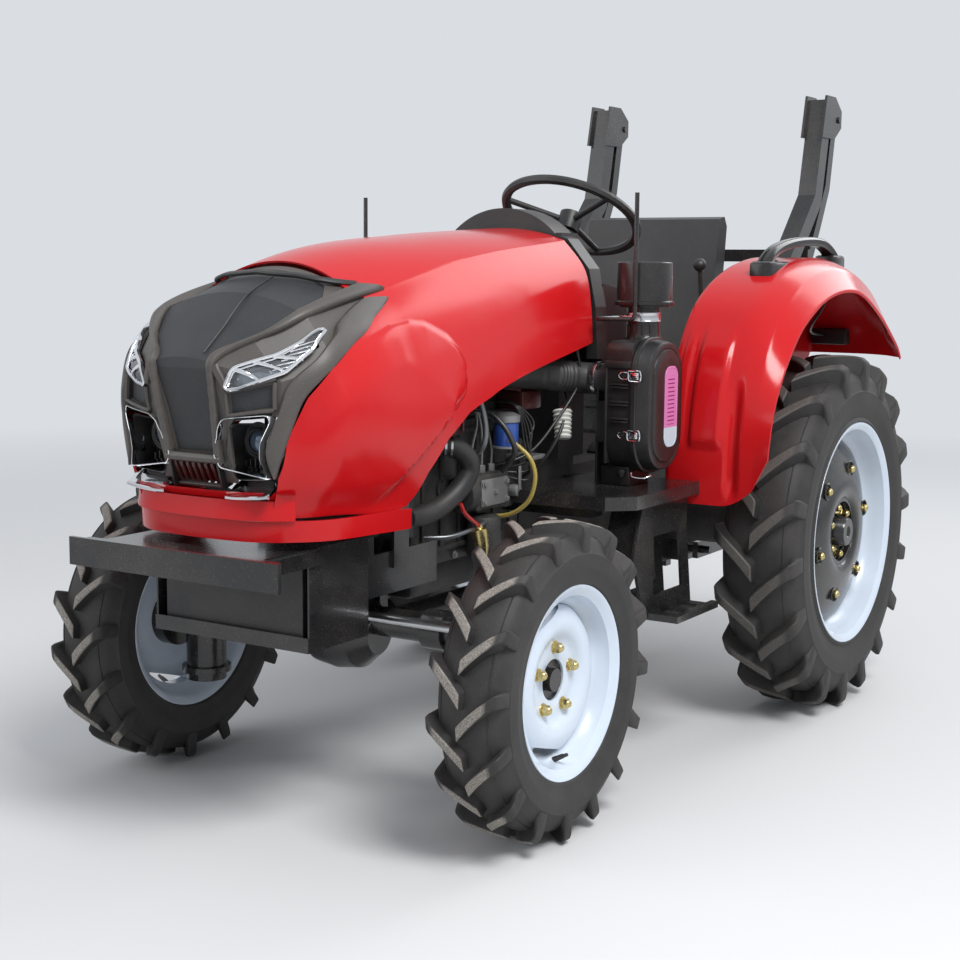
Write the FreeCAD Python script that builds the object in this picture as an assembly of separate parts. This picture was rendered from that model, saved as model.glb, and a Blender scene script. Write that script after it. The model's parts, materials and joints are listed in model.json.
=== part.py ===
import FreeCAD, Part
import math
import os

# Compact four-wheel-drive farm tractor. Millimetres, X to the tractor's left, Y to its rear, Z up.
# The origin is on the floor under the middle of the whole machine.

V = FreeCAD.Vector
OUT = "parts"

# Running gear
wheelbase = 1490
rear_axle_y = 685
front_axle_y = rear_axle_y - wheelbase
pair = (1, -1)
shaft_clearance = 0.05
seat_gap = 0.3

front_radius = 370
front_section = 145
front_width = 180
front_flange = front_radius - front_section
front_rim_width = 146
front_x = 570
front_lugs = 16
front_lug_height = 24

rear_radius = 527
rear_section = 197
rear_width = 240
rear_flange = rear_radius - rear_section
rear_rim_width = 216
rear_x = 659
rear_lugs = 18
rear_lug_height = 30
disc_face = 74
disc_sheet = 9

rim_sheet = 7
flange_height = 20
well_depth = 24
stud_hole = 48
disc_flats = 5
disc_flat_inset = 19
first_flat = 38
hub_radius = 72
spindle_radius = 27
rear_shaft_radius = 40
axle_tube_radius = 74
axle_top = rear_radius + axle_tube_radius

kingpin_x = 460
kingpin_radius = 20
knuckle_low = 222
knuckle_top = 400
knuckle_radius = 52
arm_length = 135
arm_z = 512
arm_thick = 14
tie_radius = 11
tie_pin = 9

axle_z = front_radius
beam_z = 446
beam_radius = 36
diff_radius = 96
diff_z = 412
drive_radius = 24
drive_z = 405
bearing_y = (-95, 62)
bearing_long = 33

# Frame and front
frame_x = 200
frame_plate = 12
frame_low = 540
frame_high = 640
bumper_y = -1425
bumper_half = 300
bumper_low = 637
bumper_high = 700
bumper_thick = 10
tray_z = 690
battery_half = 225
battery_front = -1230
battery_back = -1015
battery_low = 465
battery_high = 655

radiator_y = -870
radiator_thick = 70
radiator_half = frame_x
radiator_low = 662
radiator_high = 1165

engine_front = -740
engine_back = -230
engine_half = 150
engine_low = 472
engine_high = 1010
bell_back = 70
bell_low = 440
fan_z = 900
fan_radius = 185

# Hood: each row is a section of the outside, from the dash to the nose.
# y, half width and height of the lower edge, side, shoulder and crown edge, then the height at the middle
hood_rows = (
    (-100, 300, 1060, 292, 1200, 270, 1300, 205, 1377, 1411),
    (-576, 316, 940, 308, 1100, 282, 1230, 216, 1328, 1382),
    (-950, 306, 780, 326, 960, 298, 1150, 224, 1256, 1341),
    (-1215, 258, 800, 308, 950, 294, 1095, 206, 1200, 1247),
    (-1312, 196, 812, 226, 905, 220, 1062, 150, 1140, 1166),
    (-1379, 66, 1086, 78, 1091, 84, 1097, 66, 1106, 1112),
)
hood_sheet = 7
nose_base_y = -1250
band_height = 45
lip_height = 44
band_low = tray_z + 27
band_high = band_low + band_height
hood_lip = band_high + lip_height
band_sheet = 8
band_shelf = 64
band_plan = ((306, -975), (289, -1080), (263, -1200), (214, -1268), (150, -1312), (80, -1326), (0, -1330))
hood_hinge_y = -112
hood_hinge_z = 1394
hinge_pin = 5
strap_width = 12
strap_drop = 49

# Lower edge of the hood's side from the dash forward, over the engine and the front wheel: y, z
hood_arch = ((-40, 1118), (-640, 992), (-740, 962), (-830, 908), (-905, 838), (-960, 770))
# Raised field on each side of the hood, seen from the side: y, z
side_field = (
    (-1240, hood_lip), (-1240, 1082), (-1123, 1144), (-1020, 1173), (-945, 1183), (-893, 1178), (-817, 1147),
    (-756, 1089), (-752, 1045), (-763, 1016), (-803, 984), (-968, 874), (-1055, hood_lip),
)
field_height = 7

# Outline of the grey mask against the red hood, seen from the side: y, z
mask_side = (
    (-1060, 1345), (-1062, 1262), (-1025, 1241), (-1048, 1213), (-1112, 1166), (-1230, 1088), (-1277, 1027),
    (-1309, 939), (-1322, hood_lip),
)

# Windows of the mask seen from the front: x, z on the left half
window_upper_grille = ((0, 1128), (80, 1112), (60, 1000), (53, 905), (0, 905))
window_slats = ((0, 900), (54, 900), (64, hood_lip + 24), (0, hood_lip + 24))
window_low_lamp = (
    (107, 963), (123, 981), (204, 990), (203, 950), (184, 896), (200, 845), (193, hood_lip + 18),
    (110, hood_lip + 16), (99, 880),
)
window_slim_lamp = (
    (111, 1050), (127, 1090), (196, 1114), (226, 1139), (238, 1160), (252, 1132), (219, 1080), (141, 1050),
)
window_mesh_box = ((121, 1036), (205, 1056), (206, 1010), (118, 992))
# Mesh on top of the nose seen from above: x, y
window_top = (
    (-76, -1374), (76, -1374), (112, -1329), (144, -1300), (182, -1236), (188, -1134), (156, -1084),
    (-156, -1084), (-188, -1134), (-182, -1236), (-144, -1300), (-112, -1329),
)
slat_count = 8
slat_pitch = 16
slat_gap = 9

# Operator's place
cowl_front = -85
cowl_back = -25
dome_top = 1466
dash_half = 185
dash_low = 780
dash_rear = 62
cover_half = 286
cover_back = 118
column_length = 500
shaft_radius = 15
column_radius = 32
steering_centre = V(0, 301, 1455)
steering_axis = V(0, 0.5, 0.866)
steering_radius = 200
steering_tube = 14

platform_in = 205
platform_out = 540
platform_front = -355
platform_z = 728
platform_lip = 35
platform_sheet = 5
step_z = 400
step_in = 420
step_out = 600
step_front = -185
step_back = 72
step_plate = 8

fender_sheet = 6
fender_start = rear_axle_y - rear_radius - 78
fender_front = ((fender_start, 664), (fender_start + 167, 1218))
# Space left open under the guard's inner wall, seen from the side: y, z
fender_under = (
    (150, 500), (150, 760), (300, 900), (720, 980), (1100, 980), (1200, 1040), (1400, 1040), (1400, 500),
)
fender_roof = 814
fender_edge = 720
fender_out = 742
fender_tail_y = 1176
guard_top = rear_radius + fender_roof

# Grab handle on each guard: the outside of its arch from front to rear, as y and height over the guard
handle_x = 570
handle_half = 19
handle_thick = 27
handle_arch = (
    (372, -86), (420, -12), (494, 28), (600, 49), (700, 58), (800, 59), (866, 49), (922, 20), (968, -60),
)
handle_feet = ((382, 545), (885, 985))
foot_half = 36
foot_rise = 22
foot_drop = 100

seat_half = 240
seat_low = 900
seat_top = 990
seat_front = 430
seat_base_half = 168

# Roll-over bar
post_x = 400
post_width = 60
post_depth = 60
post_foot = 21
post_front = ((835, axle_top + post_foot - 2), (835, 1205), (1165, 1548), (1235, 1860))
pivot_y = 1332
pivot_z = 1800
pivot_radius = 11
hoop_width = 50
hoop_depth = 40
hoop_bar = 40
cross_tube_low = 1090
cross_tube_high = 1130
hoop_rear = ((1352, 1800), (1306, 1570), (1240, 1450), (1168, 1330))
hinge_plate = 8
# Outline of the plates that carry the hoop's pin, from the pin: y, z
hinge_outline = ((-142, -65), (-32, -65), (28, -25), (28, 30), (-32, 72), (-110, 72))

# Three-point hitch
rock_y = 785
rock_z = 800
lift_arm = 230
lift_arm_x = 190
link_y = 715
link_z = rear_radius - axle_tube_radius - 33
link_length = 670
link_lift_point = 400
link_x = 255
link_end_x = 340
top_link_y = 985
top_link_z = 720
top_link_length = 500
top_link_ahead = 64
top_link_radius = 15
top_link_lean = math.asin(top_link_ahead / top_link_length)

# Air cleaner on the left side
cleaner_in = 330
cleaner_out = 505
cleaner_y = -72
cleaner_width = 214
cleaner_outlet_y = -38
cleaner_low = 768
cleaner_high = 1128
cap_x = 420
cap_y = -40
cap_low = 1205
cap_high = 1320
cap_radius = 77

# Small parts: x, y, z of a lever's foot, its lean across and back, and its rise
stalk_x = 438
stalk_y = -130
stalk_top = 1499
lever_rows = (
    (0, 300, 745, 0, 60, 300),
    (300, 685, axle_top, 0, -120, 715),
    (-300, 685, axle_top, -20, -60, 480),
)


def box(x0, x1, y0, y1, z0, z1):
    return Part.makeBox(x1 - x0, y1 - y0, z1 - z0, V(x0, y0, z0))


def cylinder(start, direction, radius, length):
    return Part.makeCylinder(radius, length, start, direction)


def rod(start, end, radius):
    return Part.makeCylinder(radius, (end - start).Length, start, end - start)


def face_of(points):
    return Part.Face(Part.makePolygon(list(points) + [points[0]]))


def prism_x(outline, x0, x1):
    """Extrudes an outline of (y, z) points along X."""
    return face_of([V(x0, y, z) for y, z in outline]).extrude(V(x1 - x0, 0, 0))


def prism_y(outline, y0, y1):
    """Extrudes an outline of (x, z) points along Y."""
    return face_of([V(x, y0, z) for x, z in outline]).extrude(V(0, y1 - y0, 0))


def prism_z(outline, z0, z1):
    """Extrudes an outline of (x, y) points along Z."""
    return face_of([V(x, y, z0) for x, y in outline]).extrude(V(0, 0, z1 - z0))


def join(shapes):
    shapes = list(shapes)
    return shapes[0].multiFuse(shapes[1:]).removeSplitter() if len(shapes) > 1 else shapes[0]


def flip(shape):
    return shape.mirror(V(0, 0, 0), V(1, 0, 0))


def group(shapes):
    return Part.makeCompound(list(shapes))


def save(name, shape):
    shape.exportStep(os.path.join(OUT, name + ".step"))


def spin_x(outline, centre):
    """Turns an outline of (x, radius) points about an axle through the centre along X."""
    face = face_of([V(x + centre.x, centre.y, centre.z + r) for x, r in outline])
    return face.revolve(centre, V(1, 0, 0), 360)


def strip(points, thick):
    """Outline of a sheet: the line of (a, b) points and the same line set off to its right."""
    normals = []
    for (a0, b0), (a1, b1) in zip(points, points[1:]):
        length = math.hypot(a1 - a0, b1 - b0)
        normals.append(((b1 - b0) / length, -(a1 - a0) / length))
    inner = []
    for i, (a, b) in enumerate(points):
        n0 = normals[max(i - 1, 0)]
        n1 = normals[min(i, len(normals) - 1)]
        scale = thick / (1 + n0[0] * n1[0] + n0[1] * n1[1])
        inner.append((a + (n0[0] + n1[0]) * scale, b + (n0[1] + n1[1]) * scale))
    return list(points) + inner[::-1]


def tube_along(points, radius, bend):
    """Round bar along straight runs with tangent arcs of one bend radius."""
    edges = []
    start = points[0]
    for a, b, c in zip(points, points[1:], points[2:]):
        u = (b - a).normalize()
        w = (c - b).normalize()
        turn = math.acos(max(-1, min(1, u.dot(w))))
        reach = bend * math.tan(turn / 2)
        first = b - u * reach
        last = b + w * reach
        middle = b + (w - u).normalize() * (bend / math.cos(turn / 2) - bend)
        edges.append(Part.LineSegment(start, first).toShape())
        edges.append(Part.Arc(first, middle, last).toShape())
        start = last
    edges.append(Part.LineSegment(start, points[-1]).toShape())
    ring = Part.Wire(Part.makeCircle(radius, points[0], points[1] - points[0]))
    return Part.Wire(edges).makePipeShell([ring], True, True)


def faceted_ring(outline, sides, centre):
    """Ring of flat faces about an axle along X, from the (x, radius) outline at its corners."""
    rings = []
    for x, radius in outline:
        ring = []
        for i in range(sides):
            angle = 2 * math.pi * i / sides
            ring.append(centre + V(x, radius * math.sin(angle), radius * math.cos(angle)))
        rings.append(ring)
    faces = []
    for low, high in zip(rings, rings[1:] + rings[:1]):
        for i in range(sides):
            j = (i + 1) % sides
            faces.append(face_of([low[i], low[j], high[j], high[i]]))
    return Part.Solid(Part.Shell(faces))


def tyre(centre, radius, width, flange, rim_width, lugs, lug_height):
    """Farm tyre: a ring of two flat faces to a lug, with slanted lugs, the halves half a pitch apart."""
    half = width / 2
    crown = radius - lug_height
    bead = (flange - flange_height) / math.cos(math.pi / (2 * lugs))
    bead_x = rim_width / 2 - 11
    carcass = faceted_ring(
        (
            (-bead_x, bead), (-half, (flange + crown) / 2), (-half * 0.93, crown - 26),
            (-half * 0.70, crown),
            (half * 0.70, crown), (half * 0.93, crown - 26), (half, (flange + crown) / 2), (bead_x, bead),
        ),
        2 * lugs,
        centre,
    )
    lug_width = radius * 0.088
    slant = half * 0.86
    chamfer_x = half * 0.84
    foot = crown - 34
    # Each bar reaches as far ahead of its middle as behind it, so its top corners lie on the tyre's radius.
    reach = (lug_width + slant * 0.845) / 2
    top = math.sqrt(radius ** 2 - reach ** 2)
    inner_t = -reach
    outer_t = inner_t + slant
    outline = ((-half * 0.03, inner_t), (half, outer_t), (half, outer_t + lug_width),
               (-half * 0.03, inner_t + lug_width))
    bar = face_of([V(x, t, foot) for x, t in outline]).extrude(V(0, 0, top - foot))
    trim = face_of([V(chamfer_x, -radius, top), V(half * 1.1, -radius, top), V(half * 1.1, -radius, crown)])
    bar = bar.cut(trim.extrude(V(0, 2 * radius, 0)))
    turn = math.degrees(math.atan2(reach, top))
    bars = []
    for side, shift in ((1, 0), (-1, 0.5)):
        one = bar if side == 1 else bar.mirror(V(0, 0, 0), V(1, 0, 0))
        for i in range(lugs):
            copy = one.copy()
            copy.rotate(V(0, 0, 0), V(1, 0, 0), 180 + turn + 360 * (i + shift) / lugs)
            copy.translate(centre)
            bars.append(copy)
    return carcass.multiFuse(bars)


def rim_bed(half, flange):
    """Sheet outline of a drop-centre rim from its inner flange to its outer one."""
    bead = flange - flange_height
    well = bead - well_depth
    line = (
        (-half, flange), (-half + 10, bead), (-half * 0.45, bead - 4), (-half * 0.34, well),
        (half * 0.34, well), (half * 0.45, bead - 4), (half - 10, bead), (half, flange),
    )
    return strip(line, rim_sheet)


def front_rim(centre):
    """White rim with a pressed disc near its outer side and the black hub behind it."""
    half = front_rim_width / 2
    well = front_flange - flange_height - well_depth - rim_sheet
    bed = spin_x(rim_bed(half, front_flange), centre)
    line = ((-6, well), (26, well), (36, well - 12), (44, well - 45), (34, 98), (24, 88), (24, stud_hole))
    disc = spin_x(strip(line, rim_sheet), centre)
    flat = well - disc_flat_inset
    for i in range(disc_flats):
        slab = box(-20, 90, flat, well, -well, well)
        slab.rotate(V(0, 0, 0), V(1, 0, 0), first_flat + 360 * i / disc_flats)
        slab.translate(centre)
        disc = disc.cut(slab)
    bore = spindle_radius + shaft_clearance
    line = (
        (-22, bore), (-22, hub_radius), (17, hub_radius), (17, 44), (40, 44), (40, 0), (34, 0),
        (34, bore),
    )
    hub = spin_x(line, centre)
    return group([bed.fuse(disc), hub])


def rear_rim(centre):
    half = rear_rim_width / 2
    return spin_x(rim_bed(half, rear_flange), centre)


def rear_disc(centre):
    """Black dished centre bolted inside the rear rim, with round windows and the hub in its middle."""
    well = rear_flange - flange_height - well_depth - rim_sheet
    line = ((0, well), (36, well), (52, well - 20), (84, 150), (84, 108), (disc_face, 100), (disc_face, 46))
    plate = spin_x(strip(line, disc_sheet), centre)
    for i in range(6):
        angle = math.radians(60 * i + 15)
        middle = centre + V(40, (well - 89) * math.cos(angle), (well - 89) * math.sin(angle))
        plate = plate.cut(cylinder(middle, V(1, 0, 0), 24, 60))
    bore = rear_shaft_radius + shaft_clearance
    back = disc_face - disc_sheet
    line = ((-40, bore), (-40, 96), (back, 96), (back, 44), (96, 44), (96, 0), (88, 0), (88, bore))
    hub = spin_x(line, centre)
    return group([plate, hub])


def wheels():
    left_front = V(front_x, front_axle_y, front_radius)
    left_rear = V(rear_x, rear_axle_y, rear_radius)
    front = {
        "front_tyre": tyre(left_front, front_radius, front_width, front_flange, front_rim_width, front_lugs,
                           front_lug_height),
        "front_rim": front_rim(left_front),
    }
    rear = {
        "rear_tyre": tyre(left_rear, rear_radius, rear_width, rear_flange, rear_rim_width, rear_lugs,
                          rear_lug_height),
        "rear_rim": rear_rim(left_rear),
        "rear_disc": rear_disc(left_rear),
    }
    for name, shape in {**front, **rear}.items():
        save(name + "_left", shape)
        save(name + "_right", flip(shape))


def front_axle():
    """Driven front axle: differential, two tubes, kingpin housings, pivot bearings and the drive shaft."""
    ball = spin_x(((-105, 0), (-105, 50), (-60, 88), (0, diff_radius), (60, 88), (105, 50), (105, 0)),
                  V(0, front_axle_y, diff_z))
    nose = cylinder(V(0, front_axle_y, diff_z), V(0, 1, 0), 58, 150)
    pieces = [ball, nose]
    for side in pair:
        beam_end = V(side * (kingpin_x - 40), front_axle_y, beam_z)
        pieces.append(rod(V(0, front_axle_y, beam_z), beam_end, beam_radius))
        pieces.append(cylinder(V(side * 250, front_axle_y, beam_z), V(side, 0, 0), beam_radius + 12, 60))
        pieces.append(cylinder(V(side * kingpin_x, front_axle_y, knuckle_top + 2), V(0, 0, 1), 48, 100))
    for y in bearing_y:
        start = front_axle_y + y
        pieces.append(box(-60, 60, start, start + bearing_long, diff_z, frame_low - 12))
    body = join(pieces)
    for side in pair:
        bore = kingpin_radius + shaft_clearance
        body = body.cut(cylinder(V(side * kingpin_x, front_axle_y, knuckle_top), V(0, 0, 1), bore, 120))
    shaft = rod(V(0, front_axle_y + 150, drive_z), V(0, bell_back, drive_z), drive_radius)
    save("front_axle", body)
    save("drive_shaft", shaft)


def knuckle():
    """Left steering knuckle: final drive, spindle, kingpin and the arm to the tie rod."""
    centre = V(kingpin_x, front_axle_y, 0)
    drum = cylinder(centre + V(0, 0, knuckle_low), V(0, 0, 1), knuckle_radius, knuckle_top - knuckle_low)
    foot = cylinder(centre + V(0, 0, knuckle_low + 20), V(0, 0, 1), knuckle_radius + 12, 16)
    neck = rod(V(kingpin_x, front_axle_y, axle_z), V(front_x - 26, front_axle_y, axle_z), spindle_radius + 2)
    spindle = rod(V(kingpin_x, front_axle_y, axle_z), V(front_x + 30, front_axle_y, axle_z), spindle_radius)
    pin = cylinder(centre + V(0, 0, knuckle_top - 10), V(0, 0, 1), kingpin_radius, arm_z - knuckle_top + 10)
    outline = []
    for x, y in ((-22, 20), (22, 20), (26, 0), (15, -arm_length - 8), (-15, -arm_length - 8), (-26, 0)):
        outline.append((kingpin_x + x, front_axle_y + y))
    arm = prism_z(outline, arm_z - 6, arm_z - 6 + arm_thick)
    return join([drum, foot, neck, spindle, pin, arm])


def steering():
    hole = cylinder(V(kingpin_x, front_axle_y - arm_length, arm_z - 30), V(0, 0, 1), tie_pin, 60)
    left = knuckle().cut(hole)
    save("knuckle_left", left)
    save("knuckle_right", flip(left))
    rod_z = arm_z - 6 - 16
    y = front_axle_y - arm_length
    pieces = [rod(V(-kingpin_x, y, rod_z), V(kingpin_x, y, rod_z), tie_radius)]
    for side in pair:
        pieces.append(cylinder(V(side * kingpin_x, y, rod_z - 14), V(0, 0, 1), 20, 28))
        pieces.append(cylinder(V(side * kingpin_x, y, rod_z), V(0, 0, 1), tie_pin - shaft_clearance, 40))
    save("tie_rod", join(pieces))


def front_frame():
    """Front support behind the battery box: side plates, cross plate, bearing pads, posts and tray."""
    pieces = []
    for side in pair:
        x = side * frame_x
        outline = (
            (battery_back, frame_low), (-700, frame_low), (-700, frame_high),
            (battery_back + 55, frame_high), (battery_back + 55, tray_z), (battery_back, tray_z),
        )
        inner, outer = sorted((x, x - side * frame_plate))
        pieces.append(prism_x(outline, inner, outer))
        inner, outer = sorted((x, x + side * 8))
        pieces.append(prism_x(((-890, 600), (-830, 600), (-830, 790), (-890, 790)), inner, outer))
    pieces.append(box(-frame_x + frame_plate, frame_x - frame_plate, -905, -700, frame_low, frame_low + 22))
    for y in bearing_y:
        start = front_axle_y + y
        pieces.append(box(-60, 60, start, start + bearing_long, frame_low - 12, frame_low))
    pieces.append(box(-battery_half, battery_half, bumper_y + 40, battery_back + 40, tray_z, tray_z + 6))
    save("front_support", join(pieces))
    behind = bumper_y + bumper_thick
    shelf_half = bumper_half - 25
    shelf = box(-shelf_half, shelf_half, behind, bumper_y + 40, bumper_high - 12, bumper_high - 4)
    arms = [box(-bumper_half, bumper_half, bumper_y, behind, bumper_low, bumper_high), shelf]
    for side in pair:
        inner, outer = sorted((side * battery_half, side * (battery_half + 8)))
        arms.append(box(inner, outer, bumper_y + bumper_thick, -1190, bumper_low + 20, tray_z))
    save("bumper", join(arms))
    t = 5
    tray = box(-battery_half, battery_half, battery_front, battery_back, battery_low, tray_z)
    half = battery_half - t
    hollow = box(-half, half, battery_front - t, battery_back - t, battery_low + t, tray_z + t)
    rail = box(-battery_half, battery_half, battery_front - t, battery_front, battery_low, battery_low + 34)
    save("battery_box", join([tray.cut(hollow), rail]))
    save("battery", box(-200, 200, battery_front + 8, battery_back - 8, battery_low + t, battery_high))


def hood_section(row, inset, y):
    """Closed outline of the hood across the machine, drawn in by the sheet thickness."""
    _, low_x, low_z, side_x, side_z, shoulder_x, shoulder_z, edge_x, edge_z, top = row
    drop = 60 if inset > 0 and y > nose_base_y else 0
    points = [
        (low_x - inset, low_z - drop), (side_x - inset, side_z),
        (shoulder_x - inset * 0.9, shoulder_z - inset * 0.4), (edge_x - inset * 0.4, edge_z - inset),
    ]
    left = [V(x, y, z) for x, z in points]
    right = [V(-x, y, z) for x, z in points]
    edges = [Part.LineSegment(a, b).toShape() for a, b in zip(left, left[1:])]
    edges.append(Part.Arc(left[-1], V(0, y, top - inset), right[-1]).toShape())
    edges += [Part.LineSegment(b, a).toShape() for a, b in zip(right, right[1:])][::-1]
    edges.append(Part.LineSegment(right[0], left[0]).toShape())
    return Part.Wire(edges)


def hood_body(inset):
    """Solid inside the hood's outside surface, or inside that surface set in by the inset."""
    sections = []
    rows = hood_rows[:-1] if inset > 15 else hood_rows
    for row in rows:
        y = row[0]
        if y < nose_base_y:
            y = y + inset
        if row is hood_rows[0] and inset > 0:
            y = y + 30
        sections.append(hood_section(row, inset, y))
    return Part.makeLoft(sections, True, True)


def hood_skin(outer, inner):
    return hood_body(outer).cut(hood_body(inner))


def window(outline, y0=-1460, y1=-1150):
    """Cutter for a window of the mask on both sides of the middle."""
    one = prism_y(outline, y0, y1)
    return one.fuse(flip(one))


def mask_zone():
    outline = list(mask_side) + [(-1500, hood_lip), (-1500, mask_side[0][1])]
    return prism_x(outline, -400, 400)


def hood():
    """Red hood shell, grey mask, grilles, lamps and the red band under them: all on the lid that tips up."""
    skin = hood_skin(0, hood_sheet)
    arch = prism_x(list(hood_arch) + [(hood_arch[-1][0], 500), (hood_arch[0][0], 500)], -500, 500)
    below = box(-500, 500, -1500, -900, 600, hood_lip)
    zone = mask_zone()
    field = hood_skin(-field_height, hood_sheet / 2).common(prism_x(side_field, -500, 500))
    shell = skin.fuse(field).cut(arch).cut(below).cut(zone)
    eyes = [box(x, x + 10, hood_hinge_y - 10, hood_hinge_y + 10, hood_hinge_z - 10, 1405) for x in (-34, 24)]
    hinge_bore = rod(V(-60, hood_hinge_y, hood_hinge_z), V(60, hood_hinge_y, hood_hinge_z),
                     hinge_pin + shaft_clearance)
    skirt = hood_skirt()
    lip_zone = box(-500, 500, -1500, -900, band_high, hood_lip + 20)
    save("hood_band", skirt.cut(lip_zone))
    save("hood_shell", shell.multiFuse(eyes + [skirt.common(lip_zone)]).cut(hinge_bore))
    top_cut = prism_z(window_top, 1100, 1500)
    mask = skin.common(zone)
    grille_cut = window(window_upper_grille)
    slat_cut = window(window_slats)
    low_cut = window(window_low_lamp)
    slim_cut = window(window_slim_lamp)
    box_cut = window(window_mesh_box)
    for cutter in (top_cut, grille_cut, slat_cut, low_cut, slim_cut, box_cut):
        mask = mask.cut(cutter)
    save("nose_mask", mask)
    fill = hood_skin(3, hood_sheet + 4)
    panel = fill.common(zone)
    save("grille_mesh", group([panel.common(top_cut.fuse(grille_cut)), panel.common(box_cut)]))
    deep = hood_skin(3, hood_sheet + 14)
    slats = deep.common(zone).common(slat_cut)
    gaps = []
    for i in range(slat_count):
        x = (i - (slat_count - 1) / 2) * slat_pitch
        gaps.append(box(x - slat_gap / 2, x + slat_gap / 2, -1460, -1200, hood_lip + 28, 896))
    save("grille_slats", slats.cut(group(gaps)))
    lamp = hood_skin(2, hood_sheet + 45).common(zone)
    save("headlamps", group([lamp.common(low_cut), lamp.common(slim_cut)]))


def hood_skirt():
    """Wall round the nose under the mask and the sides, with a shelf inside its upper edge."""
    left = list(band_plan)
    outer = left + [(-x, y) for x, y in left[-2::-1]]
    skirt = prism_z(outer, band_low, hood_lip)
    for inset, top in ((band_sheet, hood_lip - band_sheet), (band_shelf, hood_lip + 10)):
        line = strip(outer, inset)[len(outer):]
        open_end = [(line[0][0], line[0][1] + 20)] + line + [(line[-1][0], line[-1][1] + 20)]
        skirt = skirt.cut(prism_z(open_end, band_low - 10, top))
    return skirt


def radiator():
    back = radiator_y + radiator_thick
    core = box(-radiator_half, radiator_half, radiator_y, back, radiator_low, radiator_high)
    half = radiator_half - 20
    tank = box(-half, half, radiator_y + 5, back - 5, radiator_high, radiator_high + 40)
    save("radiator", join([core, tank]))


def engine():
    block = box(-engine_half, engine_half, engine_front, engine_back, engine_low + 90, engine_high - 90)
    sump = box(-110, 110, engine_front + 60, engine_back, engine_low, engine_low + 90)
    half = engine_half - 35
    head = box(-half, half, engine_front + 30, engine_back, engine_high - 90, engine_high + 40)
    save("engine", join([block, sump, head]))
    hub = cylinder(V(0, engine_front, fan_z), V(0, -1, 0), 38, 46)
    blades = [hub]
    for i in range(6):
        blade = box(30, fan_radius, -22, 22, -2, 2)
        blade.rotate(V(0, 0, 0), V(1, 0, 0), 32)
        blade.rotate(V(0, 0, 0), V(0, 1, 0), 60 * i)
        blade.translate(V(0, engine_front - 24, fan_z))
        blades.append(blade)
    save("fan", join(blades))
    dynamo = join([
        cylinder(V(-engine_half - 56, -705, 735), V(0, 1, 0), 50, 110),
        box(-engine_half - 20, -engine_half, -690, -630, 715, 755),
    ])
    pump = join([
        box(engine_half, engine_half + 70, -530, -390, 700, 790),
        cylinder(V(engine_half + 38, -450, 790), V(0, 0, 1), 30, 90),
    ])
    oil_filter = join([
        cylinder(V(engine_half + 46, -480, 570), V(0, 0, 1), 44, 105),
        box(engine_half, engine_half + 20, -505, -455, 600, 650),
    ])
    save("engine_parts", group([dynamo, pump, oil_filter]))


def transmission():
    """Clutch housing, gearbox, rear axle centre and the two axle tubes."""
    outline = (
        (engine_back, bell_low + 30), (bell_back, bell_low), (bell_back, dash_low), (-100, dash_low),
        (engine_back, 850),
    )
    bell = prism_x(outline, -150, 150)
    gearbox = box(-140, 140, bell_back, 500, 370, 745)
    centre = box(-165, 165, 500, 860, 380, 790)
    pieces = [bell, gearbox, centre]
    for side in pair:
        pieces.append(rod(V(side * 150, rear_axle_y, rear_radius), V(side * 560, rear_axle_y, rear_radius),
                          axle_tube_radius))
        pieces.append(cylinder(V(side * 520, rear_axle_y, rear_radius), V(side, 0, 0), 100, 40))
        shaft_end = V(side * (rear_x + 84), rear_axle_y, rear_radius)
        pieces.append(rod(V(side * 500, rear_axle_y, rear_radius), shaft_end, rear_shaft_radius))
    save("transmission", join(pieces))


def cowl():
    """Black arch round the rear of the hood, the dash under it, the hood's hinge and the steering column."""
    row = hood_rows[0]
    depth = cowl_back - cowl_front
    arch = Part.Face(hood_section(row, -5, cowl_front)).extrude(V(0, depth, 0))
    arch = arch.cut(Part.Face(hood_section(row, 26, cowl_front - 1)).extrude(V(0, depth + 2, 0)))
    dome_edges = (
        Part.Arc(V(-178, cowl_front, 1385), V(0, cowl_front, dome_top), V(178, cowl_front, 1385)).toShape(),
        Part.LineSegment(V(178, cowl_front, 1385), V(-178, cowl_front, 1385)).toShape(),
    )
    dome = Part.Face(Part.Wire(dome_edges)).extrude(V(0, 95, 0))
    dash = prism_x(((cowl_front + 5, dash_low), (dash_rear, dash_low), (dash_rear, 1240), (10, 1398),
                    (cowl_front + 5, 1398)), -dash_half, dash_half)
    low = steering_centre - steering_axis * column_length
    high = steering_centre - steering_axis * 60
    pieces = [arch, dome, dash]
    for side in pair:
        inner, outer = sorted((side * 36, side * 44))
        front = hood_hinge_y - strap_width / 2
        back = front + strap_width
        foot = hood_hinge_z - strap_drop
        strap = (
            (front, foot), (front, hood_hinge_z + 1), (back, hood_hinge_z + 1), (back, foot + strap_width),
            (cowl_front + 10, foot + strap_width), (cowl_front + 10, foot),
        )
        pieces.append(prism_x(strap, inner, outer))
    pieces.append(rod(V(-46, hood_hinge_y, hood_hinge_z), V(46, hood_hinge_y, hood_hinge_z), hinge_pin))
    pieces.append(rod(low, high, column_radius))
    save("dash_cowl", join(pieces).cut(rod(low, high + steering_axis * 10, shaft_radius + shaft_clearance)))
    covers = []
    for side in pair:
        x = side * cover_half
        inner, outer = sorted((x, side * dash_half))
        outline = (
            (cowl_back, 960), (dash_rear, 960), (cover_back, 1060), (cover_back, 1240), (cowl_back, 1262),
        )
        covers.append(prism_x(outline, inner, outer))
    save("dash_covers", group(covers))


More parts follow.
